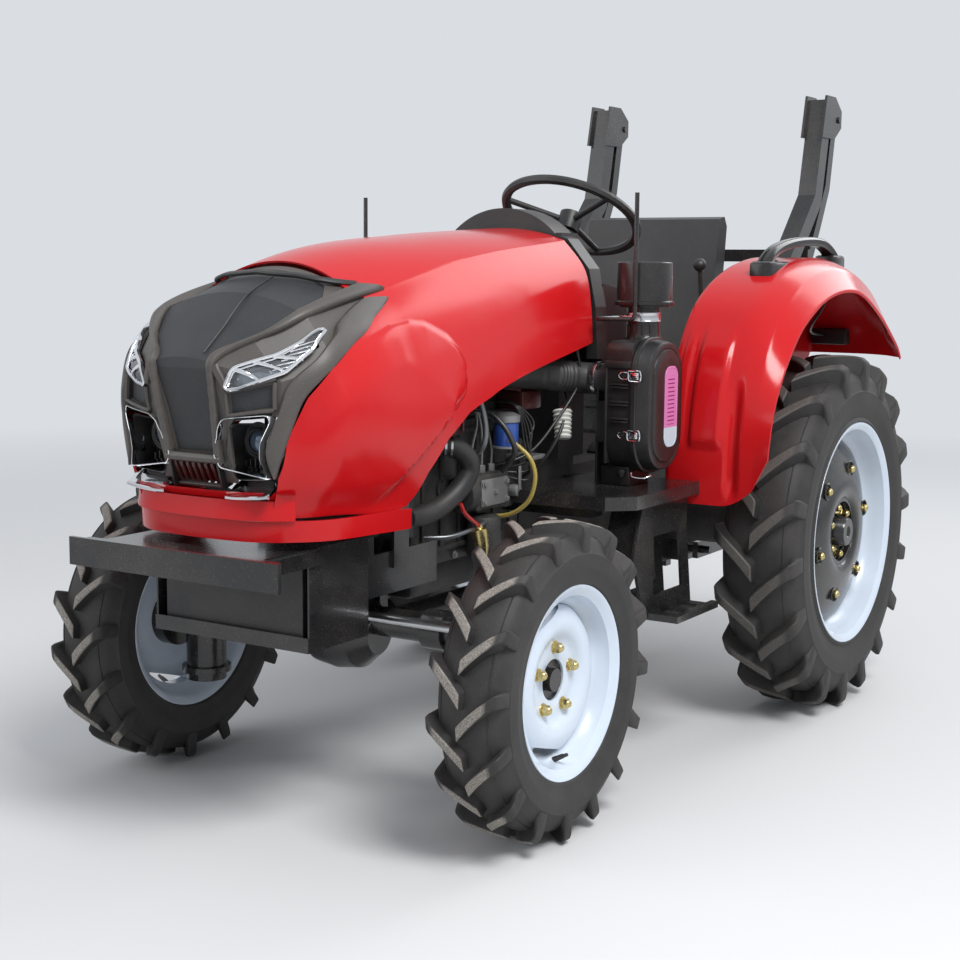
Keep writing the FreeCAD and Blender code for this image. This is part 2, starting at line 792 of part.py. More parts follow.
def steering_wheel():
    """Rim, three spokes, hub with a shaft into the column, and a spinner knob."""
    ring = []
    for i in range(8):
        angle = 2 * math.pi * i / 8
        ring.append(V(steering_radius + steering_tube * math.cos(angle), 0, steering_tube * math.sin(angle)))
    pieces = [face_of(ring).revolve(V(0, 0, 0), V(0, 0, 1), 360)]
    for i in range(3):
        angle = math.radians(90 + 120 * i)
        out = V(math.cos(angle), math.sin(angle), 0)
        pieces.append(rod(V(0, 0, -18), out * steering_radius, 9))
    pieces.append(cylinder(V(0, 0, -50), V(0, 0, 1), 34, 56))
    pieces.append(cylinder(V(0, 0, -150), V(0, 0, 1), shaft_radius, 110))
    pieces.append(cylinder(V(-140, 142, 8), V(0, 0, 1), 9, 30))
    pieces.append(cylinder(V(-140, 142, 34), V(0, 0, 1), 22, 30))
    wheel = join(pieces)
    tilt = math.degrees(math.atan2(steering_axis.y, steering_axis.z))
    wheel.rotate(V(0, 0, 0), V(1, 0, 0), -tilt)
    wheel.translate(steering_centre)
    save("steering_wheel", wheel)


def platform(side):
    """Foot plate with a turned-down lip on a side bracket, and the hanging step with its side plates."""
    t = platform_sheet
    (low_y, low_z), (high_y, high_z) = fender_front
    back = low_y + (platform_z - platform_lip - low_z) * (high_y - low_y) / (high_z - low_z) - seat_gap
    outline = (
        (platform_in, platform_front), (platform_out - 60, platform_front),
        (platform_out, platform_front + 60), (platform_out, back), (platform_in, back),
    )
    inner = ((platform_in - 10, platform_front + t), (platform_out - 62, platform_front + t),
             (platform_out - t, platform_front + 62), (platform_out - t, back + 10),
             (platform_in - 10, back + 10))
    plate = prism_z(outline, platform_z - platform_lip, platform_z)
    plate = plate.cut(prism_z(inner, platform_z - platform_lip - 1, platform_z - t))
    beam = box(150, 420, platform_front + 40, platform_front + 100, platform_z - 63, platform_z - t)
    rear = box(150, 420, back - 70, back - 20, platform_z - 63, platform_z - t)
    side_plate = ((step_front, platform_z - t), (step_back, platform_z - t), (step_back, platform_z - 120),
                  (step_back + 40, step_z - 18), (step_front + 10, step_z - 18), (step_front - 60, 560))
    window_cut = ((step_front + 55, 600), (step_back - 45, 600), (step_back - 20, step_z + 40),
                  (step_front + 60, step_z + 40))
    hangers = []
    for x in (step_in, 500):
        hanger = prism_x(side_plate, x, x + step_plate)
        hangers.append(hanger.cut(prism_x(window_cut, x - 1, x + step_plate + 1)))
    tread = box(step_in, step_out, step_front + 20, step_back + 20, step_z - 18, step_z)
    slots = []
    for i in range(3):
        y = step_front + 60 + i * 90
        slots.append(box(step_in + 24, step_out - 20, y, y + 50, step_z - 20, step_z + 2))
    solid = join([plate, beam, rear, tread.cut(group(slots))] + hangers)
    save("platform_" + ("left" if side == 1 else "right"), solid if side == 1 else flip(solid))


def fender_body(inset, open_side):
    """Space under the guard over a rear wheel: turned about the axle, with a slanted front."""
    inner_x = post_x + post_width / 2
    roof = fender_roof - inset
    edge = ((inner_x - 200, 0), (inner_x - 200, roof), (560, roof - 2), (640, roof - 8), (700, roof - 28),
            (fender_out + open_side, fender_edge + 20 - inset), (fender_out + open_side, 0))
    turned = spin_x(edge, V(0, rear_axle_y, rear_radius))
    (low_y, low_z), (high_y, high_z) = fender_front
    drop = 60 if inset else 0
    low_y -= drop * (high_y - low_y) / (high_z - low_z)
    outline = ((low_y + inset, low_z - drop), (high_y + inset, high_z), (high_y + inset + 60, 1500),
               (fender_tail_y + inset, 1500), (fender_tail_y + inset, low_z - drop))
    return turned.common(prism_x(outline, inner_x + inset, fender_out + open_side))


def fender(side):
    """Sheet guard over a rear wheel: slanted front, arched roof with a bevelled edge, and inner wall."""
    shell = fender_body(0, 0).cut(fender_body(fender_sheet, 40))
    under = prism_x(fender_under, post_x, fender_out + 50)
    shell = shell.cut(under)
    corner = prism_y(((622, 600), (622, fender_front[0][1]), (752, 800), (800, 800), (800, 600)), -100, 300)
    shell = shell.cut(corner)
    save("fender_" + ("left" if side == 1 else "right"), shell if side == 1 else flip(shell))


def handles():
    """Arched grab handle with two broad feet on each guard, and the lamps at the guards' tails."""
    arch = strip([(y, guard_top + rise) for y, rise in handle_arch], handle_thick)
    pieces = [prism_x(arch, handle_x - handle_half, handle_x + handle_half)]
    reach = cylinder(V(0, rear_axle_y, rear_radius), V(1, 0, 0), fender_roof + foot_rise, fender_out)
    for front, back in handle_feet:
        low = guard_top - foot_drop
        foot = box(handle_x - foot_half, handle_x + foot_half, front, back, low, guard_top + 50)
        pieces.append(foot.common(reach))
    handle = join(pieces).cut(fender_body(0, 0))
    save("fender_handles", group([handle, flip(handle)]))
    wall = post_x + post_width / 2 + fender_sheet
    lamp = box(wall, wall + 130, 1120, 1180, 1062, 1118)
    save("tail_lamps", group([lamp, flip(lamp)]))


def seat():
    sides = [box(x, x + 10, 520, 745, 790, seat_low - 20) for x in (-150, 140)]
    plate = box(-seat_base_half, seat_base_half, 450, 820, seat_low - 20, seat_low)
    save("seat_base", join(sides + [plate]))
    pan = box(-seat_half, seat_half, seat_front, 820, seat_low, seat_top)
    rounded = [e for e in pan.Edges if abs(e.Length - (seat_top - seat_low)) < 1 or abs(e.Length - 390) < 1]
    pan = pan.makeFillet(30, rounded)
    outline = ((770, seat_top), (848, seat_top), (905, 1440), (885, 1470), (848, 1462))
    back = prism_x(outline, -seat_half + 5, seat_half - 5)
    save("seat", group([pan, back]))


def roll_bar():
    """Two kinked posts with hinge plates, tied by a low cross tube, and the folded hoop behind them."""
    low_x = post_x - post_width / 2
    high_x = post_x + post_width / 2
    profile = strip(post_front, post_depth)
    pieces = []
    hole = cylinder(V(0, pivot_y, pivot_z), V(1, 0, 0), pivot_radius, 900)
    for side in pair:
        one = prism_x(profile, low_x, high_x)
        foot = box(low_x - 20, high_x, rear_axle_y - 60, 905, axle_top, axle_top + post_foot)
        plates = []
        for x in (low_x - hinge_plate, high_x):
            outline = []
            for y, z in hinge_outline:
                outline.append((pivot_y + y, pivot_z + z))
            plates.append(prism_x(outline, x, x + hinge_plate))
        post = join([one, foot] + plates)
        reach = hinge_plate + 6
        pin = rod(V(low_x - reach, pivot_y, pivot_z), V(high_x + reach, pivot_y, pivot_z),
                  pivot_radius)
        pieces.append(post.fuse(pin) if side == 1 else flip(post.fuse(pin)))
    lean = top_link_lean
    rest_y = top_link_y - (cross_tube_high - top_link_z) * math.tan(lean)
    rest_y = rest_y - top_link_radius / math.cos(lean) - seat_gap
    pieces.append(box(-low_x, low_x, rest_y - 40, rest_y, cross_tube_low, cross_tube_high))
    save("rops_posts", join(pieces))
    half = hoop_width / 2
    outline = strip(hoop_rear, hoop_depth)
    legs = []
    for side in pair:
        leg = prism_x(outline, side * post_x - half, side * post_x + half)
        knob = cylinder(V(side * post_x - half, pivot_y, pivot_z), V(1, 0, 0), 26, hoop_width)
        leg = leg.fuse(knob)
        start = V(side * post_x - 60, pivot_y, pivot_z)
        bore = cylinder(start, V(1, 0, 0), pivot_radius + shaft_clearance, 120)
        legs.append(leg.cut(bore))
    end_y, end_z = hoop_rear[-1]
    bar = box(-post_x - half, post_x + half, end_y - hoop_bar, end_y, end_z, end_z + hoop_bar)
    save("rops_hoop", join(legs + [bar]))


def hitch():
    """Rear three-point hitch with its lift housing, drawbar and power take-off."""
    housing = box(-130, 130, 560, 860, 790, 862)
    housing = housing.cut(cylinder(V(-140, rock_y, rock_z + 26), V(1, 0, 0), 26 + shaft_clearance, 280))
    housing = join([housing, box(-60, 60, 860, 955, 640, 800)])
    ears = [box(x, x + 12, 955, top_link_y + 22, 690, 750) for x in (-38, 26)]
    top_pin = rod(V(-44, top_link_y, top_link_z), V(44, top_link_y, top_link_z), 10)
    pto = cylinder(V(0, 860, 560), V(0, 1, 0), 18, 90)
    shield = box(-110, 110, 860, 990, 640, 646)
    drawbar = box(-35, 35, 500, 1180, 330, 352)
    hanger = box(-90, 90, 820, 856, 330, 380)
    pads = []
    for side in pair:
        x0, x1 = sorted((side * 165, side * 225))
        pads.append(box(x0, x1, link_y - 45, link_y + 45, link_z - 35, link_z + 30))
        pads.append(rod(V(side * 170, link_y, link_z), V(side * (link_x + 40), link_y, link_z), 13))
    save("hitch_frame", join([housing, shield, pto, drawbar, hanger, top_pin] + ears + pads))
    shaft = cylinder(V(-lift_arm_x - 14, rock_y, rock_z + 26), V(1, 0, 0), 26, 2 * lift_arm_x + 28)
    end = (rock_y + lift_arm, rock_z + 6)
    arms = [shaft]
    for side in pair:
        outline = ((rock_y - 40, rock_z - 14), (rock_y - 40, rock_z + 66), (rock_y + 20, rock_z + 66),
                   (end[0] + 22, end[1] + 20), (end[0] + 22, end[1] - 20), (rock_y + 20, rock_z - 14))
        arms.append(prism_x(outline, side * lift_arm_x - 11, side * lift_arm_x + 11))
        pin_start = V(side * (lift_arm_x - 14), end[0], end[1])
        arms.append(rod(pin_start, V(side * (lift_arm_x + 44), end[0], end[1]), 10))
    save("lift_arms", join(arms))
    rods = []
    rod_low = V(0, link_y + link_lift_point, link_z)
    for side in pair:
        x = side * (lift_arm_x + 30)
        top = V(x, end[0], end[1])
        low = V(x, rod_low.y, rod_low.z + 8)
        eye_top = cylinder(top - V(11, 0, 0), V(1, 0, 0), 24, 22)
        eye_low = cylinder(low - V(11, 0, 0), V(1, 0, 0), 22, 22)
        body = join([rod(top, low, 12), eye_top, eye_low])
        body = body.cut(cylinder(top - V(40, 0, 0), V(1, 0, 0), 10 + shaft_clearance, 80))
        rods.append(body)
    save("lift_rods", group(rods))
    links = []
    for side in pair:
        x = side * link_x
        outline = (
            (link_y - 30, link_z - 26), (link_y - 30, link_z + 26), (link_y + link_length, link_z + 22),
            (link_y + link_length, link_z - 22),
        )
        bar = prism_x(outline, x - 9, x + 9)
        ball = cylinder(V(x - 20, link_y + link_length, link_z), V(1, 0, 0), 40, 40)
        body = join([bar, ball])
        body = body.cut(cylinder(V(x - 60, link_y, link_z), V(1, 0, 0), 13 + shaft_clearance, 120))
        body = body.cut(cylinder(V(x - 60, link_y + link_length, link_z), V(1, 0, 0), 14, 120))
        links.append(body)
    save("lower_links", group(links))
    lean = top_link_lean
    tip = V(0, top_link_y - top_link_length * math.sin(lean), top_link_z + top_link_length * math.cos(lean))
    foot = V(0, top_link_y, top_link_z)
    body = join([rod(foot, tip, top_link_radius), cylinder(foot - V(20, 0, 0), V(1, 0, 0), 26, 40),
                 cylinder(tip - V(20, 0, 0), V(1, 0, 0), 26, 40)])
    body = body.cut(cylinder(foot - V(60, 0, 0), V(1, 0, 0), 10 + shaft_clearance, 120))
    body = body.cut(cylinder(tip - V(60, 0, 0), V(1, 0, 0), 10, 120))
    save("top_link", body)


def air_cleaner():
    """Rounded box with its end cover towards the side, a neck, a rain cap and a bracket on the platform."""
    half = cleaner_width / 2
    seam = cleaner_out - 45
    low = cleaner_y - half
    high = cleaner_y + half
    body = box(cleaner_in, seam, low + 6, high - 6, cleaner_low + 6, cleaner_high - 6)
    cover = box(seam, cleaner_out, low, high, cleaner_low, cleaner_high)
    rounded = []
    for piece in (body, cover):
        along = [e for e in piece.Edges if abs(e.tangentAt(e.FirstParameter).x) > 0.9]
        rounded.append(piece.makeFillet(48, along))
    neck = cylinder(V(cap_x, cap_y, cleaner_high - 10), V(0, 0, 1), 45, cap_low - cleaner_high + 12)
    cap = cylinder(V(cap_x, cap_y, cap_low), V(0, 0, 1), cap_radius, cap_high - cap_low)
    outlet = cylinder(V(cleaner_in - 50, cleaner_y + cleaner_outlet_y, 1010), V(1, 0, 0), 42, 60)
    inner = cleaner_in + 4
    bracket = box(inner, inner + 6, cleaner_y - 70, cleaner_y + 60, platform_z, cleaner_low + 30)
    foot = box(cleaner_in + 4, cleaner_in + 90, cleaner_y - 60, cleaner_y + 60, platform_z, cleaner_low + 8)
    save("air_cleaner", join(rounded + [neck, cap, outlet, bracket, foot]))


def exhaust():
    """Silencer along the right of the engine with its tail pipe down and out."""
    body = cylinder(V(-215, -640, 900), V(0, 1, 0), 60, 330)
    inlet = rod(V(-215, -480, 900), V(-engine_half, -480, 900), 24)
    tail = rod(V(-215, -560, 900), V(-215, -560, 560), 22)
    save("exhaust", join([body, inlet, tail]))


def hoses():
    """Radiator hoses and the intake hose of the air cleaner."""
    route = [
        V(180, radiator_y + radiator_thick, 705), V(180, -690, 705), V(220, -570, 840), V(200, -600, 965),
        V(engine_half - 35, -600, 965),
    ]
    lower = tube_along(route, 26, 48)
    outlet_y = cleaner_y + cleaner_outlet_y
    route = [V(cleaner_in - 50, outlet_y, 1010), V(210, outlet_y, 1010), V(190, -330, 985),
             V(engine_half - 35, -330, 985)]
    intake = tube_along(route, 36, 52)
    save("hoses", group([lower, intake]))


def small_parts():
    """Marker stalks beside the dash, hand levers and foot pedals."""
    stalks = []
    for side in pair:
        x = side * stalk_x
        route = [V(side * cover_half, 5, 1170), V(side * 322, 5, 1170), V(side * 322, stalk_y, 1170),
                 V(x, stalk_y, 1170), V(x, stalk_y, stalk_top)]
        stalks.append(tube_along(route, 6, 14))
    save("marker_stalks", group(stalks))
    levers = []
    for x, y, z, across, back, rise in lever_rows:
        boot = box(x - 16, x + 16, y - 20, y + 20, z, z + 30)
        tip = V(x + across, y + back, z + rise)
        levers.append(join([boot, rod(V(x, y, z + 20), tip, 7), Part.makeSphere(20, tip)]))
    save("levers", group(levers))
    pedals = []
    for x in (250, -245, -325):
        pad = box(x - 30, x + 30, -20, 20, 0, 8)
        pad.rotate(V(x, 0, 0), V(1, 0, 0), 35)
        pad.translate(V(0, 40, 800))
        pedals.append(join([pad, cylinder(V(x, 40, platform_z), V(0, 0, 1), 8, 74)]))
    save("pedals", group(pedals))


def main():
    os.makedirs(OUT, exist_ok=True)
    wheels()
    front_axle()
    steering()
    front_frame()
    hood()
    radiator()
    engine()
    transmission()
    cowl()
    steering_wheel()
    for side in pair:
        platform(side)
        fender(side)
    handles()
    seat()
    roll_bar()
    hitch()
    air_cleaner()
    exhaust()
    hoses()
    small_parts()


main()
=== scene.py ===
import json
import math

import bmesh
import bpy
from mathutils import Matrix, Vector


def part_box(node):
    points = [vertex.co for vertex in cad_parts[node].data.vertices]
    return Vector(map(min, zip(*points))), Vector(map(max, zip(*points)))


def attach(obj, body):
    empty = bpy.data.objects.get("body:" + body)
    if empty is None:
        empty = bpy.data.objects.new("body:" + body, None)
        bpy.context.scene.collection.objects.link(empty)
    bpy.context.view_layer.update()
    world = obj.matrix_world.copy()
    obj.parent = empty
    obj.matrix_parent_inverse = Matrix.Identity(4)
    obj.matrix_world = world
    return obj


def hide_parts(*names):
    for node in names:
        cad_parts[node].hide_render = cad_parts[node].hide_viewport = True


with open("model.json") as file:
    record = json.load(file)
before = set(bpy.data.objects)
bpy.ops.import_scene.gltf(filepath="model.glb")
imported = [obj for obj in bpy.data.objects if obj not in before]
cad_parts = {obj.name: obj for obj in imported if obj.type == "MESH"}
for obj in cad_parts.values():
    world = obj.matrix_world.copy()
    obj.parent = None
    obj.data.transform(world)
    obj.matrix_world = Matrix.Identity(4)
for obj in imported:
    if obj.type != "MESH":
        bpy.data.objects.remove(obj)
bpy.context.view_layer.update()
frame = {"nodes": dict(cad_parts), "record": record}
nodes = frame["nodes"]

MERGE = 1e-5
ORIGIN = Vector((0, 0, 0))
REAR_AXLE = Vector((0, 0.685, 0.527))
LIP_END = -1.262
HANDLE_X = 0.570
HANDLE_STEPS = 64
GUARD_RADIUS = 0.8135
FRONT_FLANGE, FRONT_HALF = 0.225, 0.073
REAR_FLANGE, REAR_HALF = 0.330, 0.108
BELT_Y = -0.757
PUMP_X = 0.182
CAP_AXIS = (0.42, -0.04, 0)

# ---------------------------------------------------------------- shading


def new_group(name, inputs, outputs):
    """A shader node group with named float, colour or vector sockets."""
    tree = bpy.data.node_groups.new(name, "ShaderNodeTree")
    for label, kind, value in inputs:
        made = tree.interface.new_socket(label, in_out="INPUT", socket_type="NodeSocket" + kind)
        if value is not None:
            made.default_value = value
    for label, kind in outputs:
        tree.interface.new_socket(label, in_out="OUTPUT", socket_type="NodeSocket" + kind)
    return tree, tree.nodes.new("NodeGroupInput"), tree.nodes.new("NodeGroupOutput")


def add_node(tree, kind, links=(), **settings):
    """A node with its settings; numbered or named inputs are linked or filled from the links dict."""
    node = tree.nodes.new(kind)
    for key, value in settings.items():
        setattr(node, key, value)
    for key, value in dict(links).items():
        if isinstance(value, bpy.types.NodeSocket):
            tree.links.new(value, node.inputs[key])
        else:
            node.inputs[key].default_value = value
    return node


def noise(tree, where, scale, detail=2.0, roughness=0.5):
    return add_node(tree, "ShaderNodeTexNoise", {
        "Vector": where, "Scale": scale, "Detail": detail, "Roughness": roughness,
    }).outputs["Fac"]


def math_of(tree, operation, a, b=0.5, clamp=False):
    return add_node(tree, "ShaderNodeMath", {0: a, 1: b}, operation=operation, use_clamp=clamp).outputs[0]


def span(tree, value, low, high, to_low=0.0, to_high=1.0):
    return add_node(tree, "ShaderNodeMapRange", {
        0: value, "From Min": low, "From Max": high, "To Min": to_low, "To Max": to_high,
    }).outputs[0]


def mixed(tree, factor, a, b):
    """Colour mix."""
    return add_node(tree, "ShaderNodeMix", {0: factor, 6: a, 7: b}, data_type="RGBA").outputs[2]


def rgb(colour):
    return (*colour, 1.0)


def film_group():
    """Dust and patchy tone over a base colour, with a matching change of roughness."""
    tree, given, out = new_group(
        "dust_film",
        (("Place", "Vector", None), ("Colour", "Color", None), ("Dust Colour", "Color", None),
         ("Dust", "Float", 0.1), ("Patch Scale", "Float", 6.0), ("Roughness", "Float", 0.3)),
        (("Colour", "Color"), ("Roughness", "Float")),
    )
    where = given.outputs["Place"]
    broad = noise(tree, where, given.outputs["Patch Scale"], 6.0, 0.62)
    specks = noise(tree, where, 210.0, 2.0)
    cover = math_of(tree, "MULTIPLY", span(tree, broad, 0.38, 0.78), given.outputs["Dust"])
    grit = math_of(tree, "MULTIPLY", span(tree, specks, 0.60, 0.74), given.outputs["Dust"])
    total = math_of(tree, "ADD", cover, grit, True)
    tone = mixed(tree, total, given.outputs["Colour"], given.outputs["Dust Colour"])
    rough = add_node(tree, "ShaderNodeMath", {0: total, 1: 0.45, 2: given.outputs["Roughness"]},
                     operation="MULTIPLY_ADD", use_clamp=True).outputs[0]
    tree.links.new(tone, out.inputs["Colour"])
    tree.links.new(rough, out.inputs["Roughness"])
    return tree


def relief_group():
    """Two sizes of surface unevenness as one height."""
    tree, given, out = new_group(
        "uneven_skin",
        (("Place", "Vector", None), ("Coarse Scale", "Float", 40.0), ("Fine Scale", "Float", 600.0),
         ("Fine Share", "Float", 0.3)),
        (("Height", "Float"),),
    )
    coarse = noise(tree, given.outputs["Place"], given.outputs["Coarse Scale"], 3.0)
    fine = noise(tree, given.outputs["Place"], given.outputs["Fine Scale"], 1.0)
    height = add_node(tree, "ShaderNodeMath", {0: fine, 1: given.outputs["Fine Share"], 2: coarse},
                      operation="MULTIPLY_ADD").outputs[0]
    tree.links.new(height, out.inputs["Height"])
    return tree


dust_film = film_group()
uneven_skin = relief_group()
ROAD_DUST = (0.33, 0.29, 0.24)


def finish_of(name, colour, roughness, metallic=0.0, dust=0.05, patch=6.0, coarse=40.0, fine=600.0, fine_share=0.3,
              bump=0.05, depth=0.0006, coat=0.0, dust_colour=ROAD_DUST):
    """A solid finish: base colour under a film of dust, with its own unevenness."""
    material = bpy.data.materials.new(name)
    material.use_nodes = True
    tree = material.node_tree
    shader = tree.nodes["Principled BSDF"]
    where = add_node(tree, "ShaderNodeTexCoord").outputs["Object"]
    film = add_node(tree, "ShaderNodeGroup", node_tree=dust_film)
    film.inputs["Colour"].default_value = rgb(colour)
    film.inputs["Dust Colour"].default_value = rgb(dust_colour)
    film.inputs["Dust"].default_value = dust
    film.inputs["Patch Scale"].default_value = patch
    film.inputs["Roughness"].default_value = roughness
    skin = add_node(tree, "ShaderNodeGroup", node_tree=uneven_skin)
    skin.inputs["Coarse Scale"].default_value = coarse
    skin.inputs["Fine Scale"].default_value = fine
    skin.inputs["Fine Share"].default_value = fine_share
    tree.links.new(where, film.inputs["Place"])
    tree.links.new(where, skin.inputs["Place"])
    dent = add_node(tree, "ShaderNodeBump", {"Height": skin.outputs["Height"], "Strength": bump, "Distance": depth})
    tree.links.new(film.outputs["Colour"], shader.inputs["Base Color"])
    tree.links.new(film.outputs["Roughness"], shader.inputs["Roughness"])
    tree.links.new(dent.outputs["Normal"], shader.inputs["Normal"])
    shader.inputs["Metallic"].default_value = metallic
    shader.inputs["Coat Weight"].default_value = coat
    shader.inputs["Coat Roughness"].default_value = 0.08
    return material


red_paint = finish_of("red_paint", (0.52, 0.006, 0.009), 0.17, dust=0.025, patch=3.0, coarse=14.0, fine=420.0,
                      fine_share=0.15, bump=0.22, depth=0.002)
red_paint.node_tree.nodes["Principled BSDF"].inputs["Specular IOR Level"].default_value = 0.34
glossy_black = finish_of("glossy_black", (0.010, 0.010, 0.011), 0.22, dust=0.06, patch=8.0, coarse=60.0, bump=0.15,
                         depth=0.0006)
grey_mask = finish_of("grey_mask", (0.070, 0.063, 0.058), 0.44, dust=0.10, patch=5.0, coarse=90.0, fine=1500.0,
                      fine_share=0.8, bump=0.2, depth=0.0004)
black_paint = finish_of("black_paint", (0.010, 0.010, 0.011), 0.24, dust=0.10, coarse=30.0, bump=0.2, depth=0.001,
                        coat=0.3)
black_plastic = finish_of("black_plastic", (0.014, 0.014, 0.015), 0.42, dust=0.08, coarse=120.0, fine=1800.0,
                          fine_share=0.8, bump=0.25, depth=0.0004)
rim_white = finish_of("rim_white", (0.62, 0.70, 0.80), 0.28, dust=0.10, patch=9.0, coarse=25.0, bump=0.2,
                      depth=0.001, coat=0.4)
tyre_rubber = finish_of("tyre_rubber", (0.016, 0.016, 0.017), 0.62, dust=0.20, patch=12.0, coarse=60.0, fine=700.0,
                        bump=0.4, depth=0.001)
hose_rubber = finish_of("hose_rubber", (0.018, 0.018, 0.019), 0.50, dust=0.10, coarse=120.0, bump=0.3, depth=0.0006)
black_mesh = finish_of("black_mesh", (0.020, 0.021, 0.025), 0.50, dust=0.05, coarse=300.0, fine=1200.0, bump=0.6,
                       depth=0.0008)
lamp_glass = finish_of("lamp_glass", (0.25, 0.27, 0.30), 0.08, metallic=0.6, dust=0.02, coarse=20.0, bump=0.05)
red_lens = finish_of("red_lens", (0.45, 0.012, 0.010), 0.12, dust=0.03, coarse=20.0, bump=0.1, coat=0.5)
seat_vinyl = finish_of("seat_vinyl", (0.018, 0.018, 0.020), 0.38, dust=0.05, coarse=260.0, fine=900.0,
                       fine_share=0.6, bump=0.5, depth=0.0008)
cast_engine = finish_of("cast_engine", (0.022, 0.022, 0.023), 0.50, dust=0.16, patch=10.0, coarse=90.0, fine=500.0,
                        fine_share=0.6, bump=0.6, depth=0.0015)
bare_steel = finish_of("bare_steel", (0.55, 0.56, 0.58), 0.28, metallic=1.0, dust=0.10, coarse=60.0, bump=0.15)
yellow_zinc = finish_of("yellow_zinc", (0.62, 0.50, 0.22), 0.26, metallic=1.0, dust=0.08, patch=60.0, coarse=120.0,
                        bump=0.15)
fin_red = finish_of("fin_red", (0.060, 0.010, 0.010), 0.30, dust=0.10, coarse=60.0, bump=0.2, coat=0.2)
chrome_plate = finish_of("chrome_plate", (0.80, 0.81, 0.83), 0.06, metallic=1.0, dust=0.04, patch=30.0, coarse=25.0,
                         fine=300.0, bump=0.08, depth=0.0006)
lens_glass = finish_of("lens_glass", (0.10, 0.14, 0.20), 0.04, metallic=0.35, dust=0.02, coarse=20.0, bump=0.02,
                       coat=1.0)


def clear_finish(name, colour, roughness, clear):
    """Clear moulded plastic with a little haze over it."""
    material = finish_of(name, colour, roughness, dust=0.03, coarse=30.0, bump=0.05)
    shader = material.node_tree.nodes["Principled BSDF"]
    shader.inputs["Transmission Weight"].default_value = clear
    shader.inputs["IOR"].default_value = 1.45
    return material


clear_lens = clear_finish("clear_lens", (0.86, 0.90, 0.94), 0.05, 0.92)

record_finish = {
    "red_paint": red_paint, "grey_mask": grey_mask, "black_paint": black_paint, "black_plastic": black_plastic,
    "rim_white": rim_white, "tyre": tyre_rubber, "hose_rubber": hose_rubber, "black_mesh": black_mesh,
    "lamp_glass": lamp_glass, "red_lens": red_lens, "seat_vinyl": seat_vinyl, "cast_engine": cast_engine,
    "bare_steel": bare_steel,
}
for row in frame["record"]["subparts"]:
    mesh = nodes[row["node"]].data
    mesh.materials.clear()
    mesh.materials.append(record_finish[row["material_slot"]])

# ---------------------------------------------------------------- shaping


def piece(name, bm, material, body, slot=None, smooth=35.0):
    """Finishes a mesh into an object that rides on a body."""
    bmesh.ops.remove_doubles(bm, verts=bm.verts, dist=MERGE)
    bmesh.ops.recalc_face_normals(bm, faces=bm.faces)
    mesh = bpy.data.meshes.new(name)
    bm.to_mesh(mesh)
    bm.free()
    mesh.materials.append(material)
    made = bpy.data.objects.new(name, mesh)
    bpy.context.scene.collection.objects.link(made)
    mesh.shade_smooth()
    mesh.set_sharp_from_angle(angle=math.radians(smooth))
    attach(made, body)
    return made


def outline_spun(bm, outline, centre, steps=96):
    """Spins an open outline of (x, radius) points about an axle along X through the centre."""
    start = [bm.verts.new((centre.x + x, centre.y, centre.z + r)) for x, r in outline]
    edges = [bm.edges.new(pair) for pair in zip(start, start[1:])]
    bmesh.ops.spin(bm, geom=start + edges, cent=centre, axis=(1, 0, 0), angle=math.tau, steps=steps, use_merge=True,
                   use_duplicate=False)


def repeated(bm, geometry, centre, count):
    """Copies the geometry round an axle, evenly, to the given count."""
    bmesh.ops.spin(bm, geom=geometry, cent=centre, axis=(1, 0, 0), angle=math.tau * (count - 1) / count, steps=count
                   - 1,
                   use_duplicate=True)


def along(points, share):
    """The point at a share of the way along a list of points, counted by their number."""
    at = share * (len(points) - 1)
    low = min(int(at), len(points) - 2)
    part = at - low
    return [a + (b - a) * part for a, b in zip(points[low], points[low + 1])]


def all_of(bm):
    return bm.verts[:] + bm.edges[:] + bm.faces[:]


def mirror_x(bm):
    """Adds the mirror image across the middle of the machine."""
    made = bmesh.ops.duplicate(bm, geom=all_of(bm))["geom"]
    verts = [v for v in made if isinstance(v, bmesh.types.BMVert)]
    bmesh.ops.scale(bm, vec=(-1, 1, 1), verts=verts)
    bmesh.ops.reverse_faces(bm, faces=[f for f in made if isinstance(f, bmesh.types.BMFace)])


def other_side(bm):
    bmesh.ops.scale(bm, vec=(-1, 1, 1), verts=bm.verts)
    bmesh.ops.reverse_faces(bm, faces=bm.faces)


# ---------------------------------------------------------------- curves and sheets


def mapped(bm, across, down, place):
    """A grid of the given counts whose points go where place(u, v) puts them, with u and v from 0 to 1."""
    made = bmesh.ops.create_grid(bm, x_segments=across, y_segments=down, size=0.5)["verts"]
    for v in made:
        v.co = place(v.co.x + 0.5, v.co.y + 0.5)
    return made


def curve(points, count, closed=False):
    """Evenly spaced points on a smooth line through the given ones."""
    points = [Vector(p) for p in points]
    size = len(points)
    dense = []
    last = size if closed else size - 1
    for i in range(last):
        if closed:
            a, b, c, d = (points[(i + k) % size] for k in (-1, 0, 1, 2))
        else:
            a, b, c, d = (points[max(0, min(size - 1, i + k))] for k in (-1, 0, 1, 2))
        for k in range(16):
            t = k / 16
            dense.append(0.5 * ((2 * b) + (c - a) * t + (2 * a - 5 * b + 4 * c - d) * t * t
                                + (3 * b - a - 3 * c + d) * t ** 3))
    dense.append(points[0] if closed else points[-1])
    return evenly(dense, count)


